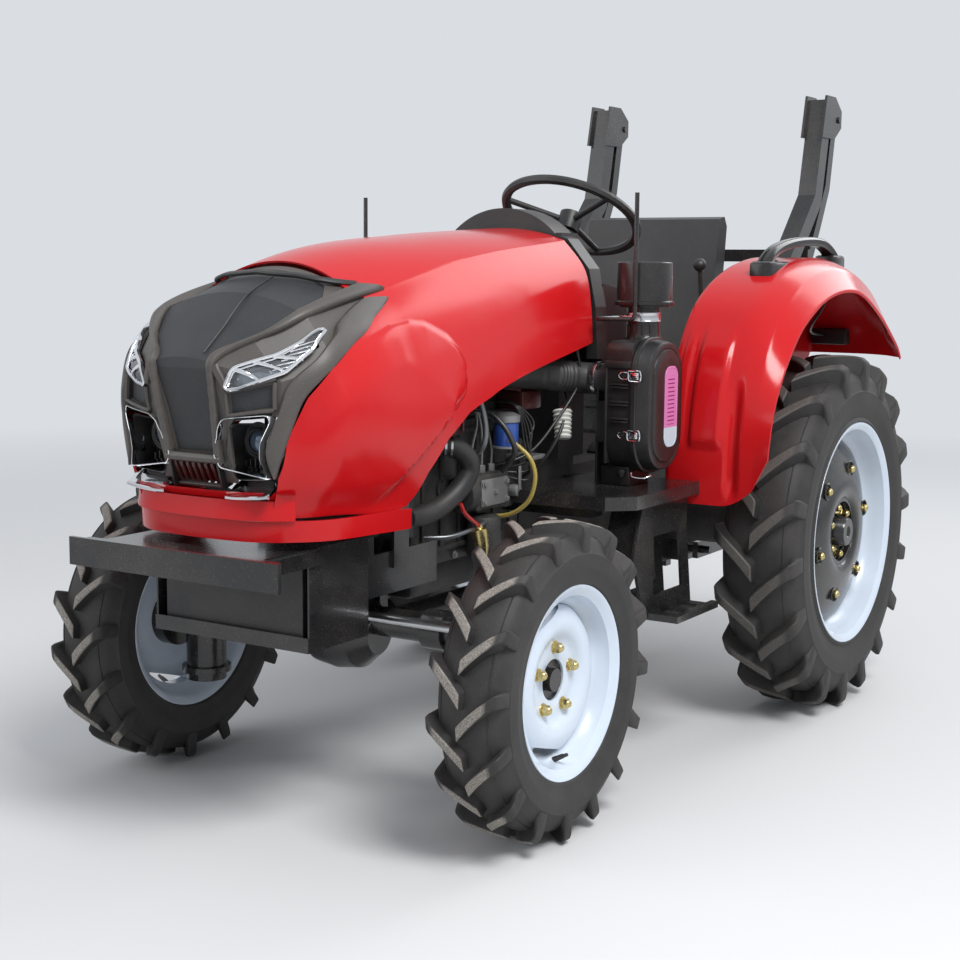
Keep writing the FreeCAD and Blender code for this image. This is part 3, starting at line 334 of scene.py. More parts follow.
def evenly(points, count):
    """The same line as count + 1 evenly spaced points."""
    points = [Vector(p) for p in points]
    reached = [0.0]
    for a, b in zip(points, points[1:]):
        reached.append(reached[-1] + (b - a).length)
    made = []
    at = 0
    for i in range(count + 1):
        goal = reached[-1] * i / count
        while at < len(points) - 2 and reached[at + 1] < goal:
            at += 1
        gap = reached[at + 1] - reached[at]
        part = (goal - reached[at]) / gap if gap > 0 else 0.0
        made.append(points[at].lerp(points[at + 1], min(1.0, max(0.0, part))))
    return made


def rounded(points, radius, steps=5):
    """A line of straight runs with its corners rounded."""
    points = [Vector(p) for p in points]
    made = [points[0]]
    for a, b, c in zip(points, points[1:], points[2:]):
        reach = min(radius, (b - a).length * 0.49, (c - b).length * 0.49)
        start = b + (a - b).normalized() * reach
        end = b + (c - b).normalized() * reach
        for k in range(steps + 1):
            t = k / steps
            made.append(start.lerp(b, t).lerp(b.lerp(end, t), t))
    made.append(points[-1])
    return made


def round_outline(radius, sides=12):
    return [(radius * math.cos(math.tau * i / sides), radius * math.sin(math.tau * i / sides)) for i in range(sides)]


def bar_outline(wide, high, corner):
    """Rectangle with cut corners, standing on its middle: sideways, outward."""
    w, h, c = wide / 2, high / 2, corner
    return [(-w, -h + c), (-w + c, -h), (w - c, -h), (w, -h + c), (w, h - c), (w - c, h), (-w + c, h), (-w, h - c)]


def sweep(bm, path, outline, up=None, closed=False, size=None):
    """Carries an outline of (sideways, outward) points along a path; up is one outward direction or one per point."""
    count = len(path) - 1
    steady = up is not None and len(up) > 3
    normal = Vector(up) if up is not None and not steady else Vector((0, 0, 1))
    first = (path[1] - path[0]).normalized()
    if abs(first.dot(normal)) > 0.95 and up is None:
        normal = Vector((1, 0, 0))
    frames = []
    for i, point in enumerate(path):
        before = path[i - 1] if i else (path[-2] if closed else path[0])
        after = path[i + 1] if i < count else (path[1] if closed else path[-1])
        ahead = (after - before).normalized()
        base = Vector(up[i]) if steady else (Vector(up) if up is not None else normal)
        normal = (base - ahead * base.dot(ahead)).normalized()
        scale = size(i / count) if size else 1.0
        frames.append((point, ahead.cross(normal) * scale, normal * scale))
    ring = list(outline) + [outline[0]]

    def place(u, v):
        point, side, out = frames[round(u * count)]
        a, b = ring[round(v * (len(ring) - 1))]
        return point + side * a + out * b

    made = mapped(bm, count, len(outline), place)
    if not closed:
        for i in (0, count):
            point, side, out = frames[i]
            corners = [bm.verts.new(point + side * a + out * b) for a, b in outline]
            bm.faces.new(corners)
    return made


def tube(bm, points, radius, sides, count):
    """Round bar, hose or wire through the points."""
    return sweep(bm, curve(points, count), round_outline(radius, sides))


def block(bm, low, high, edge=0.0):
    """Box between two corners, with its edges rounded off."""
    low, high = Vector(low), Vector(high)
    made = bmesh.ops.create_cube(bm, size=1.0)["verts"]
    bmesh.ops.scale(bm, vec=high - low, verts=made)
    bmesh.ops.translate(bm, vec=(low + high) / 2, verts=made)
    if edge:
        edges = list({e for v in made for e in v.link_edges})
        bmesh.ops.bevel(bm, geom=edges, offset=edge, offset_type="OFFSET", segments=2, profile=0.5, affect="EDGES",
                        material=-1)
    return made


def disc_at(bm, centre, axis, radius, depth, sides=32, top=None, edge=0.0):
    """Round bar or cone on a centre, along an axis; edge rounds its rims."""
    made = bmesh.ops.create_cone(bm, cap_ends=True, segments=sides, radius1=radius,
                                 radius2=radius if top is None else top, depth=depth)["verts"]
    if edge:
        rims = list({e for v in made for e in v.link_edges if abs(e.verts[0].co.z - e.verts[1].co.z) < 1e-6})
        made = list({v for f in bmesh.ops.bevel(bm, geom=rims, offset=edge, offset_type="OFFSET", segments=2,
                                                profile=0.5, affect="EDGES", material=-1)["faces"] for v in f.verts})
        linked = set(made)
        for v in made:
            linked.update(e.other_vert(v) for e in v.link_edges)
        made = list(linked)
    turn = Vector(axis).to_track_quat("Z", "Y").to_matrix()
    bmesh.ops.rotate(bm, cent=(0, 0, 0), matrix=turn, verts=made)
    bmesh.ops.translate(bm, vec=Vector(centre), verts=made)
    return made


def to_edge(point, corners):
    """Distance from a point to the closed line of corners, counted positive inside it."""
    x, y = point
    inside = False
    least = 1e9
    for (x0, y0), (x1, y1) in zip(corners, corners[1:] + corners[:1]):
        if (y0 > y) != (y1 > y) and x < (x1 - x0) * (y - y0) / (y1 - y0) + x0:
            inside = not inside
        run_x, run_y = x1 - x0, y1 - y0
        part = max(0.0, min(1.0, ((x - x0) * run_x + (y - y0) * run_y) / (run_x ** 2 + run_y ** 2)))
        least = min(least, math.hypot(x - x0 - part * run_x, y - y0 - part * run_y))
    return least if inside else -least


def eased(value, low, high):
    t = max(0.0, min(1.0, (value - low) / (high - low)))
    return t * t * (3 - 2 * t)


def ring_of(a, b, corner, low_corner=None, steps=7):
    """Points (across, up) of a rounded rectangle with half sizes a and b; its lower corners may be rounder."""
    low_corner = corner if low_corner is None else low_corner
    made = []
    for k, (sx, sy) in enumerate(((1, 1), (-1, 1), (-1, -1), (1, -1))):
        c = min(corner if sy > 0 else low_corner, a, b)
        for i in range(steps + 1):
            angle = math.pi / 2 * (k + i / steps)
            made.append((sx * (a - c) + c * math.cos(angle), sy * (b - c) + c * math.sin(angle)))
    return made


def stacked(bm, rings, place, steps=7):
    """Skin over rounded rectangles (along, half across, half up, corner sizes), put in place by place."""
    outlines = [ring_of(*row[1:], steps=steps) for row in rings]
    size = len(outlines[0])

    def spot(u, v):
        k = round(v * (len(rings) - 1))
        a, b = outlines[k][round(u * size) % size]
        return place(a, b, rings[k][0])

    mapped(bm, size, len(rings) - 1, spot)
    for k in (0, len(rings) - 1):
        bm.faces.new([bm.verts.new(place(a, b, rings[k][0])) for a, b in outlines[k]])


def turned(bm, outline, centre, axis, steps=40):
    """Spins an open outline of (radius, along) points about an axis through the centre."""
    ends = (outline[0][0] > 1e-6, outline[-1][0] > 1e-6)
    line = ([(0.0, outline[0][1])] if ends[0] else []) + list(outline) + ([(0.0, outline[-1][1])] if ends[1] else [])
    start = [bm.verts.new((r, 0, t)) for r, t in line]
    edges = [bm.edges.new(pair) for pair in zip(start, start[1:])]
    bmesh.ops.spin(bm, geom=start + edges, cent=(0, 0, 0), axis=(0, 0, 1), angle=math.tau, steps=steps,
                   use_merge=True,
                   use_duplicate=False)
    reached = set(start)
    front = list(start)
    while front:
        v = front.pop()
        for e in v.link_edges:
            w = e.other_vert(v)
            if w not in reached:
                reached.add(w)
                front.append(w)
    verts = list(reached)
    turn = Vector(axis).to_track_quat("Z", "Y").to_matrix()
    bmesh.ops.rotate(bm, cent=(0, 0, 0), matrix=turn, verts=verts)
    bmesh.ops.translate(bm, vec=Vector(centre), verts=verts)
    return verts


def loop_wire(bm, points, radius, count):
    """Wire bent to a closed loop through the points."""
    sweep(bm, curve(points, count, closed=True), round_outline(radius, 8), closed=True)


def hex_bolt(bm, centre, axis, across, high):
    """Hexagon head on a washer, standing on the point along the axis."""
    axis = Vector(axis).normalized()
    centre = Vector(centre)
    disc_at(bm, centre + axis * 0.001, axis, across * 0.82, 0.002, sides=20, edge=0.0005)
    disc_at(bm, centre + axis * (high / 2 + 0.0015), axis, across * 0.577, high, sides=6, edge=0.0008)


# ---------------------------------------------------------------- wheels


def tread_rubber(name, centre, radius, dusty):
    """Tyre rubber, with road dust on the tops of the lugs, found by their distance from the axle."""
    material = finish_of(name, (0.020, 0.019, 0.019), 0.60, dust=0.22, patch=11.0, coarse=70.0, fine=800.0, bump=0.45,
                         depth=0.0012, dust_colour=(0.13, 0.115, 0.10))
    tree = material.node_tree
    shader = tree.nodes["Principled BSDF"]
    where = tree.nodes["Texture Coordinate"].outputs["Object"]
    from_axle = add_node(tree, "ShaderNodeMapping", {"Vector": where, "Location": [-c for c in centre],
                                                     "Scale": (0, 1, 1)})
    from_axle.inputs["Location"].default_value = (0, -centre.y, -centre.z)
    out = add_node(tree, "ShaderNodeVectorMath", {0: from_axle.outputs[0]}, operation="LENGTH").outputs["Value"]
    top = span(tree, out, radius - 0.004, radius - 0.0015)
    speckle = span(tree, noise(tree, where, 380.0, 2.0), 0.36, 0.62, 0.35, 1.0)
    cover = math_of(tree, "MULTIPLY", math_of(tree, "MULTIPLY", top, speckle), dusty)
    film = next(n for n in tree.nodes if n.type == "GROUP" and n.node_tree == dust_film)
    tone = mixed(tree, cover, film.outputs["Colour"], (0.36, 0.33, 0.29, 1.0))
    tree.links.new(tone, shader.inputs["Base Color"])
    return material


def farm_tyre(name, node, body, rim_radius, rim_half, lugs, ring, dusty):
    """Tyre of the CAD tyre's size: rounded carcass, and curved lugs that run from the middle down the shoulder."""
    low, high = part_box(node)
    centre = (low + high) / 2
    radius = (high.z - low.z) / 2
    half = (high.x - low.x) / 2
    crown = radius * 0.937
    bm = bmesh.new()
    ring_radius = radius * ring
    side = (
        (0.0, crown), (0.30 * half, crown - 0.001), (0.56 * half, crown - 0.005), (0.74 * half, crown - 0.013),
        (0.86 * half, crown - 0.026), (0.93 * half, crown - 0.042), (0.965 * half, ring_radius + 0.004),
        (0.99 * half, ring_radius), (0.985 * half, ring_radius - 0.006), (0.995 * half, ring_radius - 0.03),
        (0.97 * half, (ring_radius + rim_radius) / 2), (0.90 * half, rim_radius + 0.014),
        (rim_half + 0.006, rim_radius + 0.004), (rim_half - 0.004, rim_radius - 0.006),
        (rim_half - 0.010, rim_radius - 0.016),
    )
    outline = [(-x, r) for x, r in side[::-1]] + list(side[1:])
    outline_spun(bm, outline, ORIGIN, 144)
    # thin mould line round the tread, between the lugs
    for x in (-0.66 * half, 0.66 * half):
        r = crown - 0.009
        outline_spun(bm, ((x - 0.0015, r - 0.003), (x - 0.001, r + 0.0016), (x + 0.001, r + 0.0016),
                          (x + 0.0015, r - 0.003)), ORIGIN, 144)
    tops = ((-0.04 * half, radius), (0.20 * half, radius), (0.44 * half, radius), (0.66 * half, radius - 0.001),
            (0.85 * half, radius - 0.005), (0.975 * half, radius * 0.965), (half, radius * 0.93),
            (0.998 * half, ring_radius + 0.006))
    feet = ((-0.06 * half, crown - 0.006), (0.20 * half, crown - 0.006), (0.44 * half, crown - 0.008),
            (0.66 * half, crown - 0.014), (0.78 * half, crown - 0.024), (0.84 * half, crown - 0.034),
            (0.88 * half, crown - 0.046), (0.93 * half, ring_radius - 0.004))
    bar = bmesh.new()
    bmesh.ops.create_grid(bar, x_segments=14, y_segments=2, size=0.5)
    raised = bmesh.ops.extrude_face_region(bar, geom=bar.faces[:])["geom"]
    bmesh.ops.translate(bar, vec=(0, 0, 1), verts=[v for v in raised if isinstance(v, bmesh.types.BMVert)])
    wide = radius * 0.040
    reach = half * 0.92
    for v in bar.verts:
        share = v.co.x + 0.5
        x, r = along(tops if v.co.z > 0.5 else feet, share)
        run = min(1.0, share / 0.72)
        bend = reach * (1 - (1 - run) ** 1.55)
        thick = wide * (1.0 if v.co.z > 0.5 else 1.35) * (1.12 - 0.22 * math.sin(math.pi * min(1.0, share * 1.25)))
        angle = (bend - reach * 0.55 + v.co.y * 2 * thick) / radius
        v.co = (x, r * math.sin(angle), r * math.cos(angle))
    bmesh.ops.recalc_face_normals(bar, faces=bar.faces)
    rim_edges = [e for e in bar.edges if e.calc_face_angle(0) > math.radians(38)]
    bmesh.ops.bevel(bar, geom=rim_edges, offset=radius * 0.007, offset_type="OFFSET", segments=1, profile=0.5,
                    affect="EDGES", material=-1)
    repeated(bar, all_of(bar), (0, 0, 0), lugs)
    lug_mesh = bpy.data.meshes.new("lugs")
    bar.to_mesh(lug_mesh)
    bar.free()
    for side_x in (1, -1):
        before = len(bm.verts)
        bm.from_mesh(lug_mesh)
        bm.verts.ensure_lookup_table()
        new = bm.verts[before:]
        bmesh.ops.scale(bm, vec=(side_x, 1, 1), verts=new)
        turned = math.pi / lugs if side_x < 0 else 0.0
        bmesh.ops.rotate(bm, cent=(0, 0, 0), matrix=Matrix.Rotation(turned, 3, "X"), verts=new)
    bpy.data.meshes.remove(lug_mesh)
    bmesh.ops.translate(bm, vec=centre, verts=bm.verts)
    made = piece(name, bm, tread_rubber(name, centre, radius, dusty), body, "tyre", smooth=32.0)
    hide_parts(node)
    return made


def acorn_nut(bm, place, size, height):
    """Domed hexagon nut on a washer, pointing along +X or -X by the height's sign."""
    sign = 1 if height > 0 else -1
    tall = abs(height)
    steps = ((0.0, size * 1.25, 24), (tall * 0.12, size * 1.25, 24))
    for (x0, r, n), (x1, _, _) in zip(steps, steps[1:]):
        made = bmesh.ops.create_cone(bm, cap_ends=True, segments=n, radius1=r, radius2=r * 0.96, depth=x1
                                     - x0)["verts"]
        bmesh.ops.rotate(bm, cent=(0, 0, 0), matrix=Matrix.Rotation(math.pi / 2 * sign, 3, "Y"), verts=made)
        bmesh.ops.translate(bm, vec=place + Vector((sign * (x0 + x1) / 2, 0, 0)), verts=made)
    made = bmesh.ops.create_cone(bm, cap_ends=True, segments=6, radius1=size, radius2=size, depth=tall * 0.5)["verts"]
    bmesh.ops.rotate(bm, cent=(0, 0, 0), matrix=Matrix.Rotation(math.pi / 2 * sign, 3, "Y"), verts=made)
    bmesh.ops.translate(bm, vec=place + Vector((sign * tall * 0.37, 0, 0)), verts=made)
    dome = bmesh.ops.create_uvsphere(bm, u_segments=16, v_segments=8, radius=size * 0.84)["verts"]
    bmesh.ops.scale(bm, vec=(0.95, 1, 1), verts=dome)
    bmesh.ops.translate(bm, vec=place + Vector((sign * tall * 0.55, 0, 0)), verts=dome)


def front_wheel(side, name, rim_node, tyre_node, body):
    farm_tyre("front_tyre_" + name, tyre_node, body, FRONT_FLANGE, FRONT_HALF, 16, 0.80, 0.85)
    low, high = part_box(tyre_node)
    centre = (low + high) / 2
    flange, half = FRONT_FLANGE, FRONT_HALF
    well = 0.174
    bed = ((-half - 0.002, flange - 0.003), (-half, flange), (-half + 0.004, flange), (-half + 0.008, flange - 0.012),
           (-half + 0.016, flange - 0.020), (-0.036, 0.200), (-0.028, 0.190), (-0.020, 0.182), (0.014, 0.182),
           (0.020, 0.186), (0.030, 0.199), (half - 0.016, flange - 0.020), (half - 0.008, flange - 0.014),
           (half - 0.003, flange - 0.001), (half, flange + 0.001), (half + 0.004, flange - 0.001),
           (half + 0.003, flange - 0.006), (half - 0.004, flange - 0.016), (half - 0.010, flange - 0.026),
           (0.034, 0.193), (0.026, 0.184), (0.018, 0.176), (-0.020, 0.175), (-0.032, 0.186), (-0.040, 0.194),
           (-half + 0.014, flange - 0.026), (-half + 0.003, flange - 0.014), (-half - 0.002, flange - 0.003))
    bm = bmesh.new()
    outline_spun(bm, bed, ORIGIN, 120)
    disc = ((-0.006, well), (0.020, well), (0.030, 0.168), (0.038, 0.156), (0.0425, 0.140), (0.0430, 0.128),
            (0.0405, 0.114), (0.034, 0.104), (0.027, 0.096), (0.0245, 0.088), (0.024, 0.080), (0.024, 0.050),
            (0.0225, 0.048), (0.017, 0.048), (0.017, 0.088), (0.028, 0.104), (0.036, 0.128), (0.036, 0.140),
            (0.030, 0.154), (0.022, 0.162), (0.014, 0.167), (-0.006, 0.167))
    plate = bmesh.new()
    outline_spun(plate, disc + disc[:1], ORIGIN, 150)
    for i in range(5):
        angle = math.radians(38 + 72 * i)
        out = Vector((0, math.cos(angle), math.sin(angle)))
        made = bmesh.ops.bisect_plane(plate, geom=all_of(plate), plane_co=out * 0.155, plane_no=out, clear_outer=True)
        bmesh.ops.holes_fill(plate, edges=[e for e in made["geom_cut"] if isinstance(e, bmesh.types.BMEdge)], sides=0)
    mesh = bpy.data.meshes.new("plate")
    plate.to_mesh(mesh)
    plate.free()
    bm.from_mesh(mesh)
    bpy.data.meshes.remove(mesh)
    if side < 0:
        other_side(bm)
    bmesh.ops.translate(bm, vec=centre, verts=bm.verts)
    rim = piece("front_rim_" + name, bm, rim_white, body, "rim_white", smooth=40.0)
    hub = bmesh.new()
    outline_spun(hub, ((-0.022, 0.028), (-0.022, 0.072), (0.016, 0.072), (0.016, 0.046), (0.012, 0.044),
                       (0.010, 0.020), (0.014, 0.016), (0.014, 0.0)), ORIGIN, 48)
    nuts = bmesh.new()
    for i in range(5):
        angle = math.radians(15.6 + 72 * i)
        acorn_nut(nuts, Vector((0.024, 0.076 * math.cos(angle), 0.076 * math.sin(angle))), 0.0125, 0.026)
    valve = bmesh.new()
    stem = bmesh.ops.create_cone(valve, cap_ends=True, segments=16, radius1=0.007, radius2=0.0055,
                                 depth=0.034)["verts"]
    bmesh.ops.rotate(valve, cent=(0, 0, 0), matrix=Matrix.Rotation(math.radians(62), 3, "Y"), verts=stem)
    bmesh.ops.translate(valve, vec=(0.038, 0, -0.182), verts=stem)
    cap = bmesh.ops.create_cone(valve, cap_ends=True, segments=12, radius1=0.0045, radius2=0.004,
                                depth=0.012)["verts"]
    bmesh.ops.rotate(valve, cent=(0, 0, 0), matrix=Matrix.Rotation(math.radians(62), 3, "Y"), verts=cap)
    bmesh.ops.translate(valve, vec=(0.058, 0, -0.172), verts=cap)
    for other, label, finish, slot in ((hub, "front_hub_", black_paint, "black_paint"),
                                       (nuts, "front_nuts_", yellow_zinc, "bare_steel"),
                                       (valve, "front_valve_", hose_rubber, "hose_rubber")):
        if side < 0:
            other_side(other)
        bmesh.ops.translate(other, vec=centre, verts=other.verts)
        piece(label + name, other, finish, body, slot)
    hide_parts(rim_node)


def rear_wheel(side, name, rim_node, disc_node, tyre_node, body):
    farm_tyre("rear_tyre_" + name, tyre_node, body, REAR_FLANGE, REAR_HALF, 18, 0.80, 0.25)
    low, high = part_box(tyre_node)
    centre = (low + high) / 2
    flange, half = REAR_FLANGE, REAR_HALF
    bed = ((-half, flange), (-half + 0.008, flange - 0.014), (-0.050, 0.306), (-0.040, 0.290), (0.020, 0.288),
           (0.036, 0.302), (0.060, 0.308), (half - 0.012, flange - 0.018), (half - 0.004, flange - 0.003),
           (half, flange + 0.001), (half + 0.005, flange - 0.001), (half + 0.004, flange - 0.008),
           (half - 0.006, flange - 0.022), (0.070, 0.302), (0.052, 0.298), (0.040, 0.290), (0.030, 0.279),
           (-0.044, 0.279), (-0.056, 0.296), (-half + 0.014, flange - 0.026), (-half - 0.001, flange - 0.006),
           (-half, flange))
    bm = bmesh.new()
    outline_spun(bm, bed, ORIGIN, 144)
    dish = ((0.0, 0.279), (0.032, 0.279), (0.044, 0.268), (0.052, 0.252), (0.070, 0.200), (0.082, 0.155),
            (0.084, 0.130), (0.083, 0.110), (0.078, 0.102), (0.070, 0.098), (0.060, 0.097), (0.060, 0.090),
            (0.074, 0.090), (0.076, 0.155), (0.062, 0.200), (0.044, 0.250), (0.036, 0.262), (0.0, 0.272),
            (0.0, 0.279))
    disc = bmesh.new()
    outline_spun(disc, dish, ORIGIN, 120)
    hub = bmesh.new()
    outline_spun(hub, ((-0.04, 0.042), (-0.04, 0.098), (0.052, 0.098), (0.052, 0.050), (0.060, 0.046), (0.090, 0.043),
                       (0.095, 0.040), (0.095, 0.018), (0.090, 0.014), (0.090, 0.0)), ORIGIN, 64)
    nuts = bmesh.new()
    cups = bmesh.new()
    for i in range(6):
        angle = math.radians(60 * i + 15)
        spot = Vector((0.0715, 0.190 * math.cos(angle), 0.190 * math.sin(angle)))
        outline_spun(cups, ((0.0055, 0.026), (0.0075, 0.024), (0.006, 0.0215), (-0.004, 0.019), (-0.005, 0.0)), spot,
                     32)
        acorn_nut(nuts, spot + Vector((-0.004, 0, 0)), 0.0125, 0.026)
    for i in range(6):
        angle = math.radians(60 * i + 40)
        acorn_nut(nuts, Vector((0.052, 0.072 * math.cos(angle), 0.072 * math.sin(angle))), 0.012, 0.028)
    for other, label, finish, slot, node in (
        (bm, "rear_rim_", rim_white, "rim_white", rim_node),
        (disc, "rear_disc_", black_paint, "black_paint", disc_node),
        (hub, "rear_hub_", black_paint, "black_paint", None), (cups, "rear_cups_", black_paint, "black_paint", None),
        (nuts, "rear_nuts_", yellow_zinc, "bare_steel", None),
    ):
        if side < 0:
            other_side(other)
        bmesh.ops.translate(other, vec=centre, verts=other.verts)
        made = piece(label + name, other, finish, body, slot, smooth=40.0)
        if node:
            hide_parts(node)


for side, name, ending in ((1, "left", "l"), (-1, "right", "r")):
    front_wheel(side, name, "front_rim_" + name, "front_tyre_" + name, "wheel_f" + ending)
    rear_wheel(side, name, "rear_rim_" + name, "rear_disc_" + name, "rear_tyre_" + name, "wheel_r" + ending)

# ---------------------------------------------------------------- hood

# Sections of the hood: y, half width and height of its lower edge, side, shoulder and crease, height at the middle
hood_sections = (
    (-1.379, 0.066, 1.086, 0.078, 1.091, 0.084, 1.097, 0.066, 1.106, 1.112),
    (-1.312, 0.196, 0.812, 0.226, 0.905, 0.220, 1.062, 0.150, 1.140, 1.166),
    (-1.215, 0.258, 0.800, 0.308, 0.950, 0.294, 1.095, 0.206, 1.200, 1.247),
    (-0.950, 0.306, 0.780, 0.326, 0.960, 0.298, 1.150, 0.224, 1.256, 1.341),
    (-0.576, 0.316, 0.940, 0.308, 1.100, 0.282, 1.230, 0.216, 1.328, 1.382),
    (-0.100, 0.300, 1.060, 0.292, 1.200, 0.270, 1.300, 0.205, 1.377, 1.411),
)


def hood_row(y):
    """Section of the hood at y, smoothly between the given ones."""
    rows = hood_sections
    at = 0
    while at < len(rows) - 2 and rows[at + 1][0] < y:
        at += 1
    a, b = rows[at], rows[at + 1]
    before = rows[at - 1] if at > 1 else a
    after = rows[at + 2] if at + 2 < len(rows) else b
    run = b[0] - a[0]
    t = (y - a[0]) / run
    made = []
    for k in range(1, 10):
        m0 = (b[k] - before[k]) / (b[0] - before[0]) * run
        m1 = (after[k] - a[k]) / (after[0] - a[0]) * run
        made.append((2 * t ** 3 - 3 * t ** 2 + 1) * a[k] + (t ** 3 - 2 * t ** 2 + t) * m0
                    + (3 * t ** 2 - 2 * t ** 3) * b[k] + (t ** 3 - t ** 2) * m1)
    return made


def hood_point(y, a):
    """Point on the left half: a is 0 at the lower edge, 1 side, 2 shoulder, 3 crease, 4 middle."""
    row = hood_row(y)
    marks = [Vector((row[i], row[i + 1])) for i in (0, 2, 4, 6)]
    if a >= 3:
        share = 4 - a
        x = marks[3].x * share
        z = row[8] - (row[8] - marks[3].y) * share ** 2.2
        return Vector((x, y, z))
    if a < 0:
        spot = marks[0] + (marks[0] - marks[1]).normalized() * (-a * 0.16)
        return Vector((spot.x, y, spot.y))
    i = min(2, int(a))
    t = a - i
    p0, p1, p2, p3 = (marks[max(0, min(3, i + k))] for k in (-1, 0, 1, 2))
    spot = 0.5 * (2 * p1 + (p2 - p0) * t + (2 * p0 - 5 * p1 + 4 * p2 - p3) * t * t + (3 * p1 - p0 - 3 * p2 + p3)
                  * t ** 3)
    return Vector((spot.x, y, spot.y))


def hood_at(y, z):
    """How far up the section the given height lies."""
    low, high = -0.6, 4.0
    for _ in range(26):
        middle = (low + high) / 2
        if hood_point(y, middle).z < z:
            low = middle
        else:
            high = middle
    return low


hood_low_edge = ((-0.100, 1.105), (-0.640, 0.992), (-0.740, 0.962), (-0.830, 0.908), (-0.905, 0.838), (-0.945, 0.790),
                 (-0.975, 0.766), (-1.150, 0.766), (-1.306, 0.768))
mask_edge = ((-1.306, 0.768), (-1.314, 0.860), (-1.309, 0.939), (-1.277, 1.027), (-1.230, 1.088), (-1.112, 1.166),
             (-1.048, 1.213), (-1.030, 1.236))
field_outer = [(-1.45, 0.60), (-1.45, 1.120), (-1.200, 1.132), (-1.123, 1.146), (-1.020, 1.173), (-0.945, 1.183),
               (-0.893, 1.178), (-0.817, 1.147), (-0.772, 1.112), (-0.753, 1.085), (-0.750, 1.045), (-0.763, 1.010),
               (-0.803, 0.978), (-0.968, 0.866), (-1.100, 0.765), (-1.16, 0.60)]
field_inner = [(-1.45, 0.60), (-1.45, 0.980), (-1.263, 0.992), (-1.166, 1.040), (-1.065, 1.078), (-1.009, 1.089),
               (-0.958, 1.073), (-0.906, 1.046), (-0.855, 1.016), (-0.820, 1.000), (-0.835, 0.968), (-0.990, 0.862),
               (-1.120, 0.758), (-1.18, 0.60)]
mask_field = [(y, z) for y, z in mask_edge] + [(-1.030, 1.50), (-1.60, 1.50), (-1.60, 0.70), (-1.306, 0.70)]


def hood_swell(y, z):
    """Height of the pressed field on the hood's side."""
    outer = to_edge((y, z), field_outer)
    if outer <= 0:
        return 0.0
    inner = to_edge((y, z), field_inner)
    ramp = 1.0 if inner >= 0 else outer / (outer - inner)
    rest = eased(-to_edge((y, z), mask_field), 0.004, 0.060) * eased(z, 0.762, 0.850)
    return (0.0035 * eased(outer, 0.0, 0.008) + 0.010 * ramp) * rest


def coons(bottom, top, rear, front, u, v):
    """Point of the field between four edge lines, each given as a function of 0 to 1."""
    corners = bottom(0).lerp(bottom(1), u).lerp(top(0).lerp(top(1), u), v)
    return bottom(u).lerp(top(u), v) + rear(v).lerp(front(v), u) - corners


def hood():
    low = [(y, hood_at(y, z)) for y, z in hood_low_edge]
    edge = [(y, hood_at(y, z)) for y, z in mask_edge[:-1]] + [(-1.030, 3.0)]
    bm = bmesh.new()
    along_count, up_count, crown_count = 200, 80, 30
    scale = 0.16

    def flat(points, count):
        made = evenly([(a, b * scale, 0) for a, b in points], count)
        return lambda t: made[round(t * count)]

    bottom = flat(low, along_count)
    crease = flat(((-0.100, 3.0), (-1.030, 3.0)), along_count)
    rear = flat(((-0.100, low[0][1]), (-0.100, 3.0)), up_count)
    front = flat(edge, up_count)

    def side_place(u, v):
        spot = coons(bottom, crease, rear, front, u, v)
        y, a = spot.x, spot.y / scale
        point = hood_point(y, a)
        ahead = hood_point(y, a + 0.02) - hood_point(y, a - 0.02)
        out = Vector((ahead.z, 0, -ahead.x)).normalized()
        return point + out * hood_swell(y, point.z)

    mapped(bm, along_count, up_count, side_place)
    middle = flat(((-0.100, 4.0), (-1.052, 4.0)), along_count)
    crown_rear = flat(((-0.100, 3.0), (-0.100, 4.0)), crown_count)
    crown_front = flat(((-1.030, 3.0), (-1.060, 3.12), (-1.056, 3.45), (-1.052, 4.0)), crown_count)

    def crown_place(u, v):
        spot = coons(crease, middle, crown_rear, crown_front, u, v)
        return hood_point(spot.x, spot.y / scale)

    mapped(bm, along_count, crown_count, crown_place)
    mirror_x(bm)
    bmesh.ops.remove_doubles(bm, verts=bm.verts, dist=1e-4)
    bmesh.ops.recalc_face_normals(bm, faces=bm.faces)
    bmesh.ops.solidify(bm, geom=bm.faces[:], thickness=0.0045)
    made = piece("hood", bm, red_paint, "hood", "red_paint", smooth=26.0)
    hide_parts("hood_shell")
    return made


def plan_path(points, count):
    """Line round the nose from its left to its right side at height zero."""
    half = [Vector((x, y, 0)) for x, y in points]
    whole = half + [Vector((-p.x, p.y, 0)) for p in half[-2::-1]]
    return curve(whole, count)


def wall_round(bm, path, outline):
    """Carries an outline of (outward, height) points along a path in plan."""
    count = len(path) - 1
    frames = []
    for i, point in enumerate(path):
        ahead = (path[min(count, i + 1)] - path[max(0, i - 1)]).normalized()
        frames.append((point, Vector((-ahead.y, ahead.x, 0)) * -1))
    ring = list(outline)

    def place(u, v):
        point, out = frames[round(u * count)]
        a, z = ring[round(v * (len(ring) - 1))]
        return point + out * a + Vector((0, 0, z))

    mapped(bm, count, len(ring) - 1, place)


band_line = ((0.306, -0.975), (0.289, -1.080), (0.263, -1.200), (0.214, -1.268), (0.150, -1.312), (0.080, -1.326),
             (0.0, -1.330))


